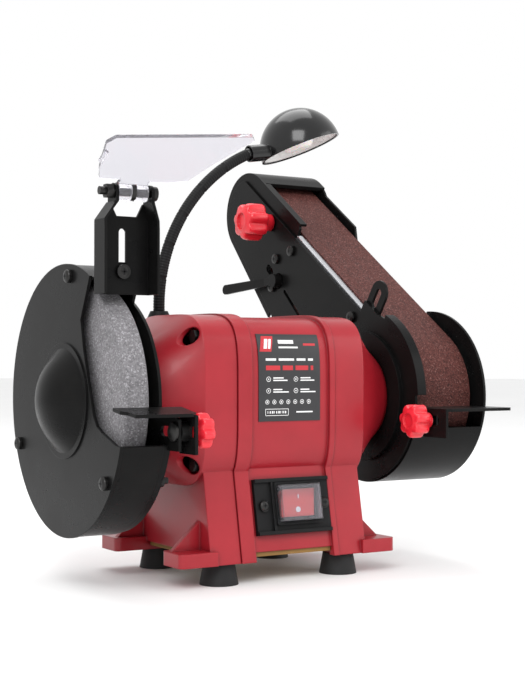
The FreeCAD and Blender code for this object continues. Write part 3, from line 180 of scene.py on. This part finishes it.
def stone():
    """Grey aluminium-oxide grit: dark and bright grains with pores between them."""
    material, nodes, links, shader = tree("stone")
    vector = coords(nodes, links)
    grains = nodes.new("ShaderNodeTexVoronoi")
    grains.inputs["Scale"].default_value = 1150
    links.new(vector, grains.inputs["Vector"])
    tone = nodes.new("ShaderNodeSeparateColor")
    links.new(grains.outputs["Color"], tone.inputs["Color"])
    broad = noise(nodes, links, vector, 60, 5)
    grey = ramp(nodes, links, tone.outputs["Red"], [
        (0.05, (0.065, 0.062, 0.066)), (0.4, (0.15, 0.145, 0.152)), (0.8, (0.215, 0.208, 0.22)),
        (0.97, (0.40, 0.39, 0.41))])
    worn = ramp(nodes, links, broad, [(0.3, (0.145, 0.14, 0.147)), (0.7, (0.21, 0.203, 0.214))])
    links.new(mixed(nodes, links, 0.45, grey, worn), shader.inputs["Base Color"])
    shader.inputs["Roughness"].default_value = 0.92
    pores = noise(nodes, links, vector, 1500, 4, 0.8)
    bump(nodes, links, shader, [(grains.outputs["Distance"], 0.5, 0.0004), (pores, 0.5, 0.0003)],
         0.0008)
    return material


def abrasive():
    """Red-brown abrasive cloth: a dense grit with paler points and faint wear along the run."""
    material, nodes, links, shader = tree("abrasive")
    vector = coords(nodes, links)
    grit = nodes.new("ShaderNodeTexVoronoi")
    grit.inputs["Scale"].default_value = 1500
    links.new(vector, grit.inputs["Vector"])
    tone = nodes.new("ShaderNodeSeparateColor")
    links.new(grit.outputs["Color"], tone.inputs["Color"])
    streak = noise(nodes, links, coords(nodes, links, (9, 1, 1)), 22, 5)
    base = ramp(nodes, links, tone.outputs["Green"], [
        (0.05, (0.020, 0.006, 0.005)), (0.5, (0.070, 0.019, 0.016)), (0.9, (0.105, 0.032, 0.027)),
        (0.99, (0.20, 0.095, 0.085))])
    worn = mixed(nodes, links, spread(nodes, links, streak, 0.0, 0.25), base, (0.13, 0.050, 0.042))
    links.new(worn, shader.inputs["Base Color"])
    links.new(spread(nodes, links, streak, 0.62, 0.78), shader.inputs["Roughness"])
    shader.inputs["Specular IOR Level"].default_value = 0.18
    bump(nodes, links, shader, [(grit.outputs["Distance"], 0.6, 0.0003)])
    return material


def clear(name, tint, rough):
    """Clear moulded plastic with a faint surface wave and a slightly milky body."""
    material, nodes, links, shader = tree(name)
    vector = coords(nodes, links)
    shader.inputs["Transmission Weight"].default_value = 0.93
    shader.inputs["IOR"].default_value = 1.2
    shader.inputs["Base Color"].default_value = (*tint, 1)
    wave = noise(nodes, links, vector, 45, 2)
    links.new(spread(nodes, links, wave, rough * 0.6, rough * 1.6), shader.inputs["Roughness"])
    bump(nodes, links, shader, [(wave, 0.04, 0.0004)], 0.0004)
    return material


def brushed(name, tone, rough, stretch):
    """Bare metal with fine lines along the way it was worked."""
    material, nodes, links, shader = tree(name)
    vector = coords(nodes, links, stretch)
    lines = noise(nodes, links, vector, 260, 6, 0.7)
    patches = noise(nodes, links, coords(nodes, links), 35, 4)
    darker = tuple(part * 0.72 for part in tone)
    links.new(ramp(nodes, links, lines, [(0.25, darker), (0.75, tone)]),
              shader.inputs["Base Color"])
    links.new(spread(nodes, links, patches, *rough), shader.inputs["Roughness"])
    shader.inputs["Metallic"].default_value = 1
    bump(nodes, links, shader, [(lines, 0.18, 0.0002)], 0.0004)
    return material


def frosted(name, color, strength):
    """Frosted glass or white plastic that light soaks into."""
    material, nodes, links, shader = tree(name)
    vector = coords(nodes, links)
    soft = noise(nodes, links, vector, 90, 3)
    dimmer = tuple(part * 0.9 for part in color)
    links.new(ramp(nodes, links, soft, [(0.3, dimmer), (0.7, color)]),
              shader.inputs["Base Color"])
    shader.inputs["Roughness"].default_value = 0.35
    shader.inputs["Subsurface Weight"].default_value = strength
    shader.inputs["Subsurface Scale"].default_value = 0.004
    bump(nodes, links, shader, [(soft, 0.05, 0.0003)], 0.0005)
    return material


MATERIALS = {
    "red_paint": coated("red_paint", (0.27, 0.007, 0.014), (0.335, 0.010, 0.019),
                        (0.32, 0.42), 1500, 0.16, 0.0012, coat=0.12, specular=0.35),
    "black_steel": coated("black_steel", (0.004, 0.004, 0.0042), (0.007, 0.0068, 0.0066),
                          (0.24, 0.36), 1300, 0.12, 0.0005, specular=0.09),
    "black_plastic": coated("black_plastic", (0.006, 0.006, 0.0065), (0.011, 0.011, 0.0115),
                            (0.40, 0.52), 2200, 0.20, 0.0005, specular=0.13),
    "gloss_black": coated("gloss_black", (0.004, 0.004, 0.0042), (0.006, 0.006, 0.0064),
                          (0.14, 0.20), 260, 0.02, 0.0006, coat=0.2, specular=0.35),
    "red_plastic": coated("red_plastic", (0.62, 0.010, 0.020), (0.76, 0.016, 0.032),
                          (0.28, 0.38), 900, 0.06, 0.0007, coat=0.15),
    "rocker_red": coated("rocker_red", (0.50, 0.020, 0.015), (0.66, 0.035, 0.025),
                         (0.22, 0.32), 700, 0.05, 0.0006, coat=0.3),
    "rubber": coated("rubber", (0.007, 0.007, 0.0075), (0.014, 0.014, 0.0145), (0.55, 0.70),
                     1700, 0.3, 0.0008, specular=0.3),
    "label": coated("label", (0.014, 0.014, 0.016), (0.020, 0.020, 0.022), (0.30, 0.38),
                    600, 0.03, 0.0002),
    "cover_plate": coated("cover_plate", (0.17, 0.085, 0.018), (0.27, 0.15, 0.035),
                          (0.7, 0.8), 1200, 0.4, 0.0003),
    "copper": coated("copper", (0.42, 0.16, 0.06), (0.62, 0.26, 0.10), (0.3, 0.42), 900, 0.4,
                     0.0004, metal=1.0),
    "core_steel": brushed("core_steel", (0.33, 0.33, 0.35), (0.45, 0.6), (40, 1, 1)),
    "can": brushed("can", (0.72, 0.73, 0.75), (0.22, 0.34), (1, 6, 6)),
    "bright_steel": brushed("bright_steel", (0.68, 0.68, 0.70), (0.18, 0.30), (8, 1, 1)),
    "dark_steel": coated("dark_steel", (0.022, 0.0215, 0.0215), (0.042, 0.041, 0.040),
                         (0.30, 0.45), 1100, 0.12, 0.0004, metal=0.85),
    "platen_steel": brushed("platen_steel", (0.66, 0.67, 0.70), (0.20, 0.32), (8, 1, 1)),
    "aluminium": brushed("aluminium", (0.64, 0.65, 0.67), (0.26, 0.38), (10, 1, 1)),
    "clear_plastic": clear("clear_plastic", (0.86, 0.85, 0.90), 0.04),
    "bulb_white": frosted("bulb_white", (0.88, 0.87, 0.82), 0.35),
    "white_mark": coated("white_mark", (0.62, 0.62, 0.62), (0.78, 0.78, 0.78), (0.4, 0.5),
                         900, 0.05, 0.0001),
    "red_mark": coated("red_mark", (0.40, 0.012, 0.02), (0.50, 0.016, 0.026), (0.35, 0.42),
                       900, 0.05, 0.0001),
    "white_inside": coated("white_inside", (0.62, 0.62, 0.61), (0.76, 0.76, 0.75),
                           (0.30, 0.40), 500, 0.05, 0.0004),
    "stone": stone(),
    "abrasive": abrasive(),
}


def finish_nodes():
    """Gives every CAD node the material of the slot that the record names for it."""
    slots = {part["node"]: part["material_slot"] for part in frame["record"]["subparts"]}
    for name, piece in NODES.items():
        material = MATERIALS[slots[name]]
        piece.data.materials.clear()
        piece.data.materials.append(material)


finish_nodes()


# ---------------------------------------------------------------- mesh helpers


def piece(name, mesh, slot, body, material=None, smooth=True):
    """Makes an object of a mesh on a body, with the look of the given slot or another look."""
    data = bpy.data.meshes.new(name)
    bmesh.ops.recalc_face_normals(mesh, faces=mesh.faces)
    mesh.to_mesh(data)
    mesh.free()
    if smooth:
        data.shade_smooth()
    obj = bpy.data.objects.new(name, data)
    bpy.context.scene.collection.objects.link(obj)
    data.materials.append(MATERIALS[material or slot])
    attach(obj, body)
    return obj


def rings(mesh, loops, close=True):
    """Skins a list of equal closed loops of points and, where asked, caps the ends."""
    rows = [[mesh.verts.new(point) for point in loop] for loop in loops]
    for first, second in zip(rows, rows[1:]):
        count = len(first)
        for number in range(count):
            after = (number + 1) % count
            mesh.faces.new((first[number], first[after], second[after], second[number]))
    if close:
        mesh.faces.new(list(reversed(rows[0])))
        mesh.faces.new(rows[-1])


def basis(direction):
    """Two unit vectors square to a direction."""
    axis = Vector(direction).normalized()
    side = Vector((0, 1, 0)) if abs(axis.y) < 0.9 else Vector((0, 0, 1))
    first = axis.cross(side).normalized()
    return axis, first, axis.cross(first)


def lathe(mesh, centre, direction, profile, steps=64, lobes=0):
    """Turns (distance, radius, lobe depth) stations about an axis; lobes flute the rim."""
    axis, first, second = basis(direction)
    loops = []
    for along, radius, depth in profile:
        loop = []
        for number in range(steps):
            turn = math.tau * number / steps
            wave = (0.5 - 0.5 * math.cos(lobes * turn)) ** 1.6 if lobes else 0
            reach = radius * (1 - depth * wave)
            loop.append(Vector(centre) + axis * along
                        + (first * math.cos(turn) + second * math.sin(turn)) * reach)
        loops.append(loop)
    rings(mesh, loops)


def hard(obj, angle=35):
    """Keeps sharp corners sharp on a smooth-shaded piece."""
    obj.data.set_sharp_from_angle(angle=math.radians(angle))
    return obj


# ---------------------------------------------------------------- knobs

KNOB_LOBES = 7
STEPS_PER_LOBE = 16
LONGEST_KNOB = 28 * MM
# Shares of the length and of the radius, and how deep the flutes cut there.
KNOB_PROFILE = [
    (0.00, 0.40, 0.00), (0.03, 0.46, 0.00), (0.24, 0.44, 0.00), (0.30, 0.62, 0.06),
    (0.34, 0.86, 0.16), (0.38, 0.96, 0.22), (0.44, 1.00, 0.25), (0.78, 1.00, 0.25),
    (0.88, 0.97, 0.23), (0.94, 0.90, 0.18), (0.97, 0.78, 0.10), (0.975, 0.56, 0.00),
    (1.00, 0.52, 0.00), (1.00, 0.44, 0.00), (0.93, 0.40, 0.00), (0.92, 0.30, 0.00),
]


def star_knob(node, body, direction):
    """A moulded star knob in the place of a plain CAD one, facing along X."""
    low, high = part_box(node)
    centre = (low + high) / 2
    radius = max(high.y - low.y, high.z - low.z) / 2
    length = min(high.x - low.x, LONGEST_KNOB)
    start = Vector((low.x if direction > 0 else low.x + length, centre.y, centre.z))
    mesh = bmesh.new()
    profile = [(along * length, reach * radius, depth) for along, reach, depth in KNOB_PROFILE]
    lathe(mesh, start, (direction, 0, 0), profile, KNOB_LOBES * STEPS_PER_LOBE, KNOB_LOBES)
    obj = hard(piece(node + "_star", mesh, "red_plastic", body), 50)
    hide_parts(node)


star_knob("left_rest_knob", "left_knob", 1)
star_knob("right_rest_knob", "right_knob", -1)
star_knob("tracking_knob", "tracking", -1)


# ---------------------------------------------------------------- gooseneck

# Each link starts with a dome, which sits in the cup that the link before it leaves free.
NECK_LINKS = 6
NECK_RADIUS = 4 * MM
NECK_SIDES = 28
RIB_PITCH = 1.9 * MM
RIB_VALLEY = 0.91
STEPS_PER_RIB = 8
CUP_DEPTH = 1.7 * MM
DOME_STEPS = 4
DOME_TILT = 18
DOME_REACH = 0.96


def neck_station(step, count, body):
    """How far along the link a ring of points stands, and its radius: a dome, then the ribs."""
    if step < 0:
        tilt = math.radians(-DOME_TILT * step)
        along = max(-NECK_RADIUS * math.sin(tilt), -NECK_RADIUS * DOME_REACH)
        return along, NECK_RADIUS * math.cos(tilt)
    along = body * step / count
    wave = abs(math.sin(math.pi * along / RIB_PITCH))
    return along, NECK_RADIUS * (RIB_VALLEY + (1 - RIB_VALLEY) * wave ** 0.6)


def neck_link(number, start, end, enter, leave):
    """One ribbed length between two joints, bending from one heading to the next."""
    mesh = bmesh.new()
    length = (end - start).length
    line = (end - start).normalized()
    side = Vector((-line.z, 0, line.x))
    body = length - CUP_DEPTH
    count = int(body / RIB_PITCH) * STEPS_PER_RIB
    loops = []
    for step in range(-DOME_STEPS, count + 1):
        along, radius = neck_station(step, count, body)
        share = min(max(along / length, 0), 1)
        bow = length * (leave - enter) / 2 * share * (1 - share)
        heading = enter + (leave - enter) * share
        middle = start + line * along - side * bow
        across = Vector((-math.sin(heading), 0, math.cos(heading)))
        loop = []
        for corner in range(NECK_SIDES):
            turn = math.tau * corner / NECK_SIDES
            loop.append(middle + (Vector((0, 1, 0)) * math.cos(turn) + across * math.sin(turn))
                        * radius)
        loops.append(loop)
    rings(mesh, loops)
    obj = piece("neck_ribs_%d" % number, mesh, "black_plastic", "neck_%d" % number)
    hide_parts("gooseneck_%d" % number)


def gooseneck():
    """All the links; the neck turns by the same angle at every joint."""
    numbers = range(1, NECK_LINKS + 1)
    names = ["neck_%d_bend" % number for number in numbers] + ["lamp_tilt"]
    points = [Vector(JOINTS[name]["pos_m"]) for name in names]
    headings = [math.atan2((b - a).z, (b - a).x) for a, b in zip(points, points[1:])]
    half_turn = (headings[1] - headings[0]) / 2
    for number, start, end, heading in zip(numbers, points, points[1:], headings):
        neck_link(number, start, end, heading - half_turn, heading + half_turn)


gooseneck()


# ---------------------------------------------------------------- label

# Label sizes are in millimetres. The centre housing's section is a superellipse about the shaft,
# and its label stands right of the machine's middle.
HALF_DEPTH = 50.8
HALF_HEIGHT = 55.3
CORNER_POWER = 4.4
LABEL_SHIFT = 4.0
MARK_PROUD = 0.08
RING_PROUD = 0.09
TOP_PROUD = 0.13
STRIP_STEP = 3
RING_STEPS = 20


def panel_y(z, proud):
    """How far forward the label's face stands at a height, in millimetres."""
    lift = abs(z - SHAFT.z / MM) / HALF_HEIGHT
    return -(HALF_DEPTH + proud) * (1 - lift ** CORNER_POWER) ** (1 / CORNER_POWER)


def strip(mesh, x, z, width, height, slant=0.0, proud=MARK_PROUD):
    """A thin mark that follows the curve of the front panel, from its low left corner."""
    rows = math.ceil(height / STRIP_STEP)
    edges = []
    for row in range(rows + 1):
        level = z + height * row / rows
        y = panel_y(level, proud)
        left = x + slant * row / rows + LABEL_SHIFT
        edges.append([mesh.verts.new(Vector((left, y, level)) * MM),
                      mesh.verts.new(Vector((left + width, y, level)) * MM)])
    for first, second in zip(edges, edges[1:]):
        mesh.faces.new((first[0], first[1], second[1], second[0]))


def disc_mark(mesh, x, z, radius, hole=0.02):
    """A small ring on the panel, or a dot with a hole too small to see."""
    outer = []
    inner = []
    for number in range(RING_STEPS):
        turn = math.tau * number / RING_STEPS
        for ring, reach in ((outer, radius), (inner, hole)):
            level = z + reach * math.sin(turn)
            across = x + reach * math.cos(turn) + LABEL_SHIFT
            ring.append(mesh.verts.new(Vector((across, panel_y(level, RING_PROUD), level)) * MM))
    for number in range(RING_STEPS):
        after = (number + 1) % RING_STEPS
        mesh.faces.new((outer[number], outer[after], inner[after], inner[number]))


def label_heading(white, red):
    """The red corner flash with two white bars, and the rules beside it."""
    strip(red, -24.4, 149.5, 9, 10.2, 2.5)
    for start, width in ((-21.2, 2.6), (-17.8, 1.8)):
        strip(white, start, 151.4, width, 6.4, 1.4, TOP_PROUD)
    strip(white, -9.5, 151.8, 15, 1.1)
    strip(white, -9.5, 154.8, 12, 2.4)
    strip(red, 10, 153.6, 9.4, 1.5)


def label_lines(white, red):
    """A broken white line over a broken red one, each from (start, width) dashes."""
    for start, width in ((-20, 8), (-10, 12), (4, 7), (13, 4)):
        strip(white, start, 143.6, width, 1.5)
    for start, width in ((-20, 11), (-7, 8), (3, 10), (15, 2)):
        strip(red, start, 137.4, width, 3.0)


def label_symbols(white):
    """Four ring symbols with two rules each, then a row of seven small ones."""
    ring, hole = 1.7, 1.35
    for level, upper, lower in ((130.2, 8, 11), (122.6, 7, 12)):
        for start in (-19.6, 1.6):
            disc_mark(white, start + 1.6, level + 1.3, ring, hole)
            disc_mark(white, start + 1.6, level + 1.3, 0.5)
            strip(white, start + 5.2, level + 1.7, upper, 0.8)
            strip(white, start + 5.2, level + 0.1, lower, 0.8)
    small_ring, small_hole = 1.5, 1.15
    for number in range(7):
        disc_mark(white, -19 + number * 5.4, 116.6, small_ring, small_hole)
        strip(white, -19.5 + number * 5.4, 116.1, 1.0, 1.0)


def label_box(white):
    """An outlined box of short bars, and a rule beside it."""
    left, low, wide, tall, line = -20.5, 107.6, 18, 4.5, 0.35
    strip(white, left, 111.8, wide, line)
    strip(white, left, low, wide, line)
    strip(white, left, low, line, tall)
    strip(white, left + wide - line, low, line, tall)
    for number in range(9):
        strip(white, -18.8 + number * 1.65, 109.1, 0.5 + line * (number % 3), 1.6)
    strip(white, 3.5, 109.4, 13, 0.9)


def label_marks():
    """A plain made-up layout, in one white mesh and one red mesh."""
    white, red = bmesh.new(), bmesh.new()
    label_heading(white, red)
    label_lines(white, red)
    label_symbols(white)
    label_box(white)
    for name, mesh, look in (("label_white", white, "white_mark"), ("label_red", red, "red_mark")):
        piece(name, mesh, "label", "stand", look, smooth=False)


# ---------------------------------------------------------------- screws and the switch

# The switch panel leans back 11 mm over a height of 58 mm.
PANEL_LEAN = math.atan2(11, 58)
PANEL_UP = Vector((0, math.sin(PANEL_LEAN), math.cos(PANEL_LEAN)))
PANEL_OUT = Vector((0, -math.cos(PANEL_LEAN), math.sin(PANEL_LEAN)))
LONGEST_NUT = 20 * MM
BOX_DIGITS = 4
SCREW_SLOT = "dark_steel"
# The (share of the height, share of the radius) stations of a pan head.
PAN_HEAD = [(0, 1), (0.35, 0.99), (0.7, 0.86), (0.93, 0.62), (1, 0.45), (0.99, 0.2)]


def cross(mesh, centre, direction, reach, width, depth):
    """A dark cross of painted shade for a screw head's recess, which looks sunken: two bevelled bars."""
    axis, first, second = basis(direction)
    for long, short in ((first, second), (second, first)):
        base = [centre + long * reach * a + short * width * b
                for a, b in ((-1, -1), (1, -1), (1, 1), (-1, 1))]
        top = [centre + axis * depth + (point - centre) * 0.8 for point in base]
        rings(mesh, [base, top])


def screw_head(name, centre, direction, radius, height):
    """A pan head with a domed rim and a cross of painted recess shade over a plain CAD head on the stand."""
    mesh = bmesh.new()
    profile = [(height * along, radius * reach, 0) for along, reach in PAN_HEAD]
    lathe(mesh, centre, direction, profile, 32)
    hard(piece(name, mesh, SCREW_SLOT, "stand"), 60)
    # Painted shade: the cross recess is a dark raised cross in the black plastic look.
    mark = bmesh.new()
    top = Vector(centre) + Vector(direction).normalized() * height * 0.92
    cross(mark, top, direction, radius * 0.52, radius * 0.13, height * 0.12)
    piece(name + "_painted_recess_shade", mark, SCREW_SLOT, "stand", "black_plastic", smooth=False)


def solid_boxes(node):
    """The boxes of the separate solids of a node, in order of their low corners.

    The sort makes the numbering the same in every run: a set gives its members in any order.
    """
    mesh = bmesh.new()
    mesh.from_mesh(NODES[node].data)
    bmesh.ops.remove_doubles(mesh, verts=mesh.verts, dist=1e-6)
    left = set(mesh.verts)
    boxes = []
    while left:
        stack = [left.pop()]
        found = list(stack)
        while stack:
            for edge in stack.pop().link_edges:
                for vertex in edge.verts:
                    if vertex in left:
                        left.discard(vertex)
                        stack.append(vertex)
                        found.append(vertex)
        low = Vector(min(v.co[i] for v in found) for i in range(3))
        high = Vector(max(v.co[i] for v in found) for i in range(3))
        boxes.append((low, high))
    mesh.free()
    return sorted(boxes, key=lambda box: [round(part, BOX_DIGITS) for part in box[0]])


def side_screws(pattern, boxes, sink, radius, height):
    """Heads that face left, sunk a little into the left end of each box."""
    for number, (low, high) in boxes:
        centre = Vector((low.x + sink * MM, (low.y + high.y) / 2, (low.z + high.z) / 2))
        screw_head(pattern % number, centre, (-1, 0, 0), radius * MM, height * MM)


def screws():
    """Heads on the guard cover, the switch plate, the shield bracket and the belt arm."""
    guard = [(number, box) for number, box in enumerate(solid_boxes("guard_screws"))
             if box[1].x - box[0].x >= LONGEST_NUT]
    side_screws("cover_screw_%d", guard, 1.2, 4.3, 1.9)
    for number, (low, high) in enumerate(solid_boxes("switch_screws")):
        reach = (high.y - low.y) / 2 - 1.2 * MM
        centre = (low + high) / 2 + PANEL_OUT * reach
        screw_head("plate_screw_%d" % number, centre, PANEL_OUT, 3.4 * MM, 1.5 * MM)
    low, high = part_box("bracket_screw")
    centre = Vector(((low.x + high.x) / 2, low.y + 1.4 * MM, (low.z + high.z) / 2))
    screw_head("bracket_screw_head", centre, (0, -1, 0), 4.4 * MM, 1.7 * MM)
    side_screws("arm_screw_%d", enumerate(solid_boxes("arm_screws")), 1.1, 4.1, 1.7)


# Each mark's height over the pivot, distance in front of it, half width, half height and corners,
# all but the last in millimetres: a bar on the upper half and a round spot on the lower half.
ROCKER_MARKS = ((4.4, 5.55, 0.5, 2.4, 4), (-4.4, 4.05, 1.9, 1.9, 24))
ROCKER_MARK_THICKNESS = 0.25 * MM


def rocker_marks():
    """A plain bar and a round spot on the rocker's face."""
    low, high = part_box("switch_rocker")
    pivot = Vector(JOINTS["rocker_tilt"]["pos_m"])
    mesh = bmesh.new()
    for level, depth, wide, tall, corners in ROCKER_MARKS:
        centre = pivot + PANEL_UP * level * MM + PANEL_OUT * depth * MM
        centre.x = (low.x + high.x) / 2
        loop = []
        for number in range(corners):
            turn = math.tau * (number + 0.5) / corners
            loop.append(centre + Vector((math.cos(turn) * wide * MM, 0, 0))
                        + PANEL_UP * math.sin(turn) * tall * MM)
        rings(mesh, [loop, [point + PANEL_OUT * ROCKER_MARK_THICKNESS for point in loop]])
    piece("rocker_signs", mesh, "rocker_red", "rocker", "white_mark", smooth=False)


label_marks()
rocker_marks()
screws()


# ---------------------------------------------------------------- lamp reflector

# The shade's closed top leans back to the left and the rear.
SHADE_LEAN = math.radians(21)
SHADE_TURN = math.radians(31.6)
SHADE_FROM_TILT = Vector((44.2, 0, 6.9)) * MM
LINING_OUTER = 28.35 * MM
LINING_INNER = 27.9 * MM
LINING_RISE = (2, 82)
LINING_ROWS = 10
LINING_SIDES = 48


def reflector():
    """The white lining of the shade: an open dome, skinned out and back in."""
    centre = Vector(JOINTS["lamp_tilt"]["pos_m"]) + SHADE_FROM_TILT
    level = math.sin(SHADE_LEAN)
    up = Vector((-level * math.cos(SHADE_TURN), level * math.sin(SHADE_TURN),
                 math.cos(SHADE_LEAN)))
    axis, first, second = basis(up)
    low, high = LINING_RISE
    rises = [math.radians(low + (high - low) * row / (LINING_ROWS - 1))
             for row in range(LINING_ROWS)]
    loops = []
    for reach, order in ((LINING_OUTER, rises), (LINING_INNER, rises[::-1])):
        for rise in order:
            loop = []
            for number in range(LINING_SIDES):
                turn = math.tau * number / LINING_SIDES
                flat = first * math.cos(turn) + second * math.sin(turn)
                loop.append(centre + (axis * math.sin(rise) + flat * math.cos(rise)) * reach)
            loops.append(loop)
    mesh = bmesh.new()
    rings(mesh, loops + [loops[0]], close=False)
    piece("shade_lining", mesh, "bulb_white", "lamp_head", "white_inside")


reflector()


# ---------------------------------------------------------------- floor, light and camera

FLOOR_RADIUS = 9
FLOOR_SIDES = 96


def floor():
    """A wide round white floor, which isn't part of the object."""
    mesh = bmesh.new()
    for number in range(FLOOR_SIDES):
        turn = math.tau * number / FLOOR_SIDES
        mesh.verts.new((FLOOR_RADIUS * math.cos(turn), FLOOR_RADIUS * math.sin(turn), 0))
    mesh.faces.new(mesh.verts)
    data = bpy.data.meshes.new("floor")
    mesh.to_mesh(data)
    mesh.free()
    obj = bpy.data.objects.new("floor", data)
    bpy.context.scene.collection.objects.link(obj)
    material, nodes, links, shader = tree("floor_white")
    soft = noise(nodes, links, coords(nodes, links), 2, 2)
    links.new(ramp(nodes, links, soft, [(0.3, (0.86, 0.86, 0.86)), (0.7, (0.88, 0.88, 0.88))]),
              shader.inputs["Base Color"])
    shader.inputs["Roughness"].default_value = 0.7
    data.materials.append(material)


def area(name, place, target, size, power):
    """A square white area light that faces a target."""
    light = bpy.data.lights.new(name, "AREA")
    light.shape = "RECTANGLE"
    light.size = size
    light.size_y = size
    light.energy = power
    obj = bpy.data.objects.new(name, light)
    obj.location = place
    aim = Vector(target) - Vector(place)
    obj.rotation_euler = aim.to_track_quat("-Z", "Y").to_euler()
    bpy.context.scene.collection.objects.link(obj)


def lights():
    """A white surround and three soft lights: front left, front right and over the rear."""
    bpy.context.scene.view_settings.view_transform = "Standard"
    world = bpy.data.worlds.new("studio")
    bpy.context.scene.world = world
    world.use_nodes = True
    background = world.node_tree.nodes["Background"]
    background.inputs["Color"].default_value = (1, 1, 1, 1)
    background.inputs["Strength"].default_value = 1.0
    middle = (0, 0, 0.14)
    area("key", (-0.9, -1.1, 1.15), middle, 0.9, 18)
    area("fill", (1.3, -0.9, 0.7), middle, 1.1, 7)
    area("top", (0.1, 0.5, 1.6), middle, 1.2, 11)


# The camera that was fitted to the photograph: its lens in millimetres, its place in metres, and
# its right and forward directions.
LENS = 69.93
CAMERA_PLACE = (-0.48265, -0.80296, 0.14507)
CAMERA_RIGHT = (0.85111, -0.52499, 0.00130)
CAMERA_FORWARD = (0.52497, 0.85110, 0.00619)


def camera():
    """The camera of the photograph."""
    data = bpy.data.cameras.new("camera")
    data.sensor_width = 36
    data.lens = LENS
    data.clip_start = 0.05
    data.clip_end = 60
    obj = bpy.data.objects.new("camera", data)
    right = Vector(CAMERA_RIGHT)
    forward = Vector(CAMERA_FORWARD)
    up = right.cross(forward)
    rotation = Matrix((right, up, -forward)).transposed()
    obj.matrix_world = Matrix.Translation(CAMERA_PLACE) @ rotation.to_4x4()
    bpy.context.scene.collection.objects.link(obj)
    bpy.context.scene.camera = obj


camera()
lights()
floor()

bpy.context.view_layer.update()
